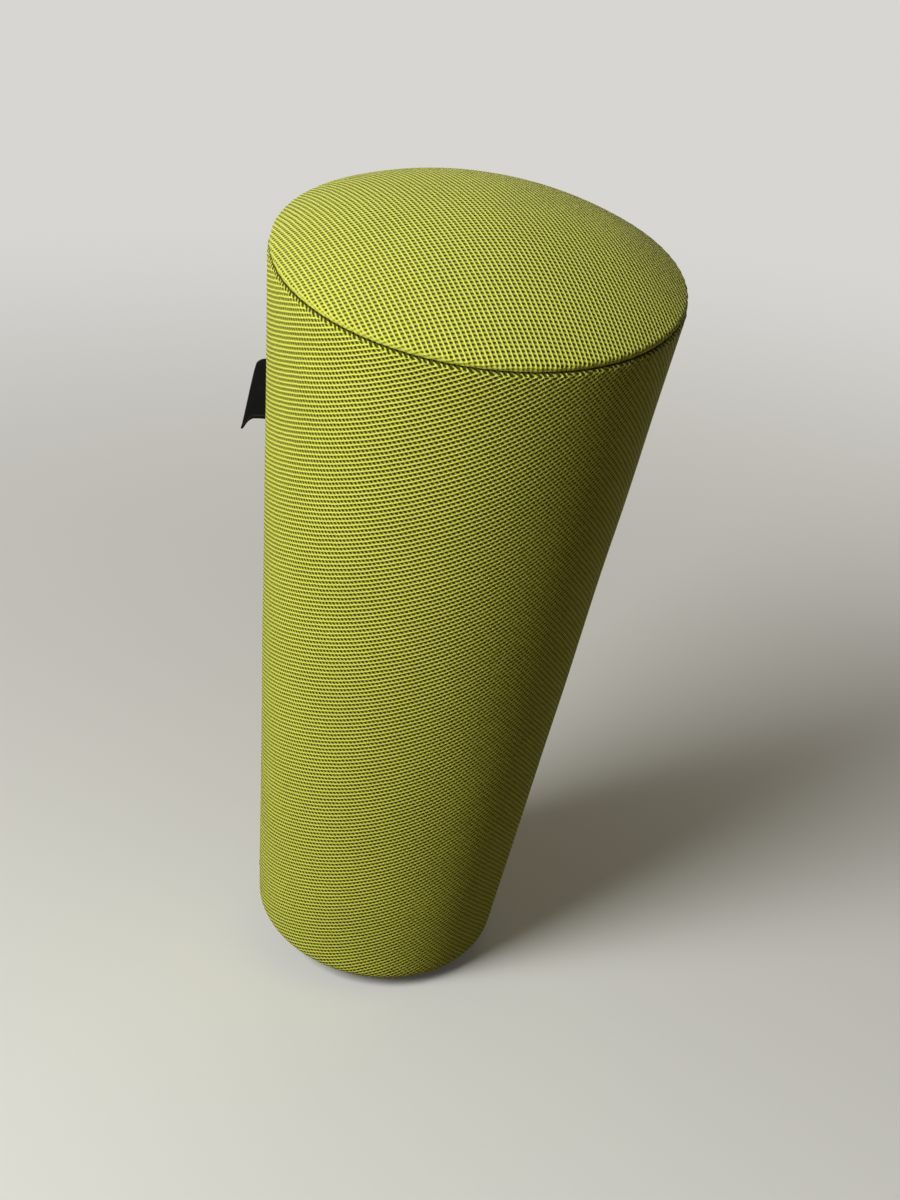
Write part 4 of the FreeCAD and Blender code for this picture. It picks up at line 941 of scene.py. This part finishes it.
class STOOL_OT_zip_finish(bpy.types.Operator):
    """Finishes the zip's tapes, teeth, stops, slider and pull"""
    bl_idname = "stool.zip_finish"
    bl_label = "Zip finish"

    def execute(self, context):
        green = context.scene.stool_cloth.thread
        dress(["zip_tape_left", "zip_tape_right"], ribbed_tape(
            "zip_tape", green, pitch=0.0011, roughness=0.75, depth=0.00015))
        dress(["zip_teeth_left", "zip_teeth_right"], moulded(
            "zip_teeth", green, roughness=0.38, grain=1500.0, depth=0.00004))
        metal = brushed("zip_enamel", (0.30, 0.33, 0.06), roughness=0.34, metallic=0.1)
        dress(["zip_top_stop", "zip_bottom_stops", "zip_slider", "zip_pull"], metal)
        return {"FINISHED"}


class STOOL_OT_foot_finish(bpy.types.Operator):
    """Finishes the sole and the dish, screws and elastic above it"""
    bl_idname = "stool.foot_finish"
    bl_label = "Foot finish"

    def execute(self, context):
        rubber = (0.018, 0.018, 0.019)
        dress(["sole"], moulded(
            "sole_rubber", rubber, roughness=0.72, grain=1300.0, depth=0.00012, worn=0.35))
        dress(["sole_carrier"], moulded("dish_plastic", (0.03, 0.03, 0.032), roughness=0.5))
        dress(["sole_screws"], brushed("screw_steel", (0.55, 0.55, 0.56), roughness=0.32))
        dress(["hem_elastic"], ribbed_tape(
            "elastic_braid", (0.66, 0.66, 0.63), pitch=0.0012, roughness=0.8, depth=0.0002))
        return {"FINISHED"}


class STOOL_OT_core_finish(bpy.types.Operator):
    """Finishes the foams, boards, shell and ballast inside the covers"""
    bl_idname = "stool.core_finish"
    bl_label = "Core finish"

    def execute(self, context):
        dress(["seam_binding"], ribbed_tape(
            "binding_tape", (0.36, 0.39, 0.06), pitch=0.0014, roughness=0.75, depth=0.0002))
        dress(["seat_foam"], open_foam("seat_foam", (0.72, 0.68, 0.52)))
        dress(["side_padding"], open_foam("wrap_foam", (0.62, 0.62, 0.60)))
        dress(["seat_board", "base_board"], plywood("birch_plywood"))
        dress(["body_shell"], moulded(
            "shell_plastic", (0.05, 0.05, 0.054), roughness=0.55, grain=700.0, depth=0.0001))
        dress(["ballast_disc"], cast_iron("ballast_iron", (0.09, 0.09, 0.09)))
        dress(["seat_screws", "ballast_washer", "ballast_bolt", "ballast_nut"],
              brushed("zinc_steel", (0.60, 0.60, 0.58), roughness=0.36))
        dress(["board_inserts"], brushed("insert_brass", (0.72, 0.52, 0.22), roughness=0.3))
        return {"FINISHED"}


class STOOL_OT_stage(bpy.types.Operator):
    """Makes the floor, the lamps, the surroundings and the camera"""
    bl_idname = "stool.stage"
    bl_label = "Stage"

    def execute(self, context):
        studio = context.scene.stool_studio
        make_floor(studio)
        make_lamps(studio)
        make_surround(studio)
        make_camera(studio)
        context.scene.view_settings.view_transform = "Standard"
        return {"FINISHED"}


def make_floor(studio):
    """Large pale floor, lit by the lamps round the stool and glowing evenly farther off.

    What it throws back onto the stool is a light of its own colour.
    """
    near, far, near_glow = 0.1, 2.3, 0.05
    shape = bmesh.new()
    bmesh.ops.create_circle(shape, cap_ends=True, segments=96, radius=9.0)
    mesh = bpy.data.meshes.new("studio_floor")
    shape.to_mesh(mesh)
    shape.free()
    graph = Graph("floor_matt", roughness=0.85)
    tone = graph.noise(graph.object_place(), scale=3.0, detail=3.0)
    seen = graph.blend(tone, full(studio.floor, 0.985), full(studio.floor, 1.015))
    path = graph.add("ShaderNodeLightPath")
    watched = graph.math("MAXIMUM", path.outputs["Is Camera Ray"], graph.math(
        "MAXIMUM", path.outputs["Is Glossy Ray"], path.outputs["Is Transmission Ray"]))
    away = graph.add("ShaderNodeVectorMath", {0: graph.object_place()}, operation="LENGTH")
    glow = graph.ramp(away.outputs["Value"], near, far, near_glow, studio.floor_glow)
    lit = graph.blend(glow, seen, full((0.0, 0.0, 0.0)))
    graph.colour(graph.blend(watched, full(studio.floor_return), lit))
    graph.shade("Emission Color", full(studio.floor))
    graph.shade("Emission Strength", graph.times(watched, glow))
    graph.shade("Specular IOR Level", 0.0)
    mesh.materials.append(graph.material)
    placed("studio_floor", mesh)


def make_lamp(name, bearing, rise, distance, size, power, colour):
    """One large soft lamp that looks at the middle of the stool."""
    middle = LEAN @ Vector((0, 0, CROWN_LEVEL / 2))
    level = math.cos(rise)
    towards = Vector((level * math.cos(bearing), level * math.sin(bearing), math.sin(rise)))
    lamp = bpy.data.lights.new(name, "AREA")
    lamp.size = size
    lamp.energy = power
    lamp.color = colour
    holder = placed(name, lamp)
    holder.location = middle + towards * distance
    holder.rotation_mode = "QUATERNION"
    holder.rotation_quaternion = towards.to_track_quat("Z", "Y")


def make_lamps(studio):
    """The key lamp at the side that the light comes from, and a low lamp behind the stool."""
    make_lamp("key_lamp", studio.key_bearing, studio.key_rise, studio.lamp_distance,
              studio.key_size, studio.key_power, studio.key_colour)
    make_lamp("fill_lamp", studio.fill_bearing, studio.fill_rise, studio.lamp_distance,
              studio.fill_size, studio.fill_power, studio.fill_colour)


def make_surround(studio):
    """Soft light from all round, and the pale background that the camera and gloss see."""
    world = bpy.data.worlds.new("studio_surround")
    world.use_nodes = True
    tree = world.node_tree
    join = tree.links.new
    soft = tree.nodes["Background"]
    soft.inputs["Color"].default_value = full(studio.surround_colour)
    soft.inputs["Strength"].default_value = studio.surround
    seen = tree.nodes.new("ShaderNodeBackground")
    seen.inputs["Color"].default_value = full(studio.floor)
    seen.inputs["Strength"].default_value = 1.0
    path = tree.nodes.new("ShaderNodeLightPath")
    either = tree.nodes.new("ShaderNodeMath")
    either.operation = "MAXIMUM"
    join(path.outputs["Is Camera Ray"], either.inputs[0])
    join(path.outputs["Is Glossy Ray"], either.inputs[1])
    mix = tree.nodes.new("ShaderNodeMixShader")
    join(either.outputs[0], mix.inputs[0])
    join(soft.outputs[0], mix.inputs[1])
    join(seen.outputs[0], mix.inputs[2])
    join(mix.outputs[0], tree.nodes["World Output"].inputs["Surface"])
    bpy.context.scene.world = world


def make_camera(studio):
    """Camera that looks down at the leaning stool."""
    data = bpy.data.cameras.new("studio_camera")
    data.lens = studio.lens
    data.sensor_width = 36.0
    right = Vector(studio.camera_right).normalized()
    down = Vector(studio.camera_down)
    down = (down - right * down.dot(right)).normalized()
    back = right.cross(-down)
    camera = placed("studio_camera", data)
    turn = Matrix((right, -down, back)).transposed().to_4x4()
    camera.matrix_world = Matrix.Translation(studio.camera_place) @ turn
    bpy.context.scene.camera = camera


# ---------------------------------------------------------------- panel and registration

OPERATORS = (
    STOOL_OT_side_cover, STOOL_OT_seat_cover, STOOL_OT_label, STOOL_OT_stitches,
    STOOL_OT_zip_finish, STOOL_OT_foot_finish, STOOL_OT_core_finish, STOOL_OT_stage)
GROUPS = {
    "stool_cover": CoverSizes, "stool_zip": ZipSizes, "stool_label": LabelSizes,
    "stool_cloth": ClothLook, "stool_studio": StudioLook}


class STOOL_PT_panel(bpy.types.Panel):
    """Lists the stool's sizes, colours and pieces"""
    bl_label = "Leaning stool"
    bl_idname = "STOOL_PT_panel"
    bl_space_type = "VIEW_3D"
    bl_region_type = "UI"
    bl_category = "Stool"

    def draw(self, context):
        for group in GROUPS:
            box = self.layout.box()
            settings = getattr(context.scene, group)
            for name in GROUPS[group].__annotations__:
                box.prop(settings, name)
        for operator in OPERATORS:
            self.layout.operator(operator.bl_idname)


def register():
    """Registers the classes and the settings."""
    for group in GROUPS.values():
        bpy.utils.register_class(group)
    for operator in OPERATORS:
        bpy.utils.register_class(operator)
    bpy.utils.register_class(STOOL_PT_panel)
    for name, group in GROUPS.items():
        setattr(bpy.types.Scene, name, PointerProperty(type=group))


def unregister():
    """Removes what register added."""
    for name in GROUPS:
        delattr(bpy.types.Scene, name)
    bpy.utils.unregister_class(STOOL_PT_panel)
    for operator in reversed(OPERATORS):
        bpy.utils.unregister_class(operator)
    for group in reversed(list(GROUPS.values())):
        bpy.utils.unregister_class(group)


def main():
    register()
    bpy.ops.stool.side_cover()
    bpy.ops.stool.seat_cover()
    bpy.ops.stool.label()
    bpy.ops.stool.stitches()
    bpy.ops.stool.zip_finish()
    bpy.ops.stool.foot_finish()
    bpy.ops.stool.core_finish()
    bpy.ops.stool.stage()


if __name__ == "__main__":
    main()
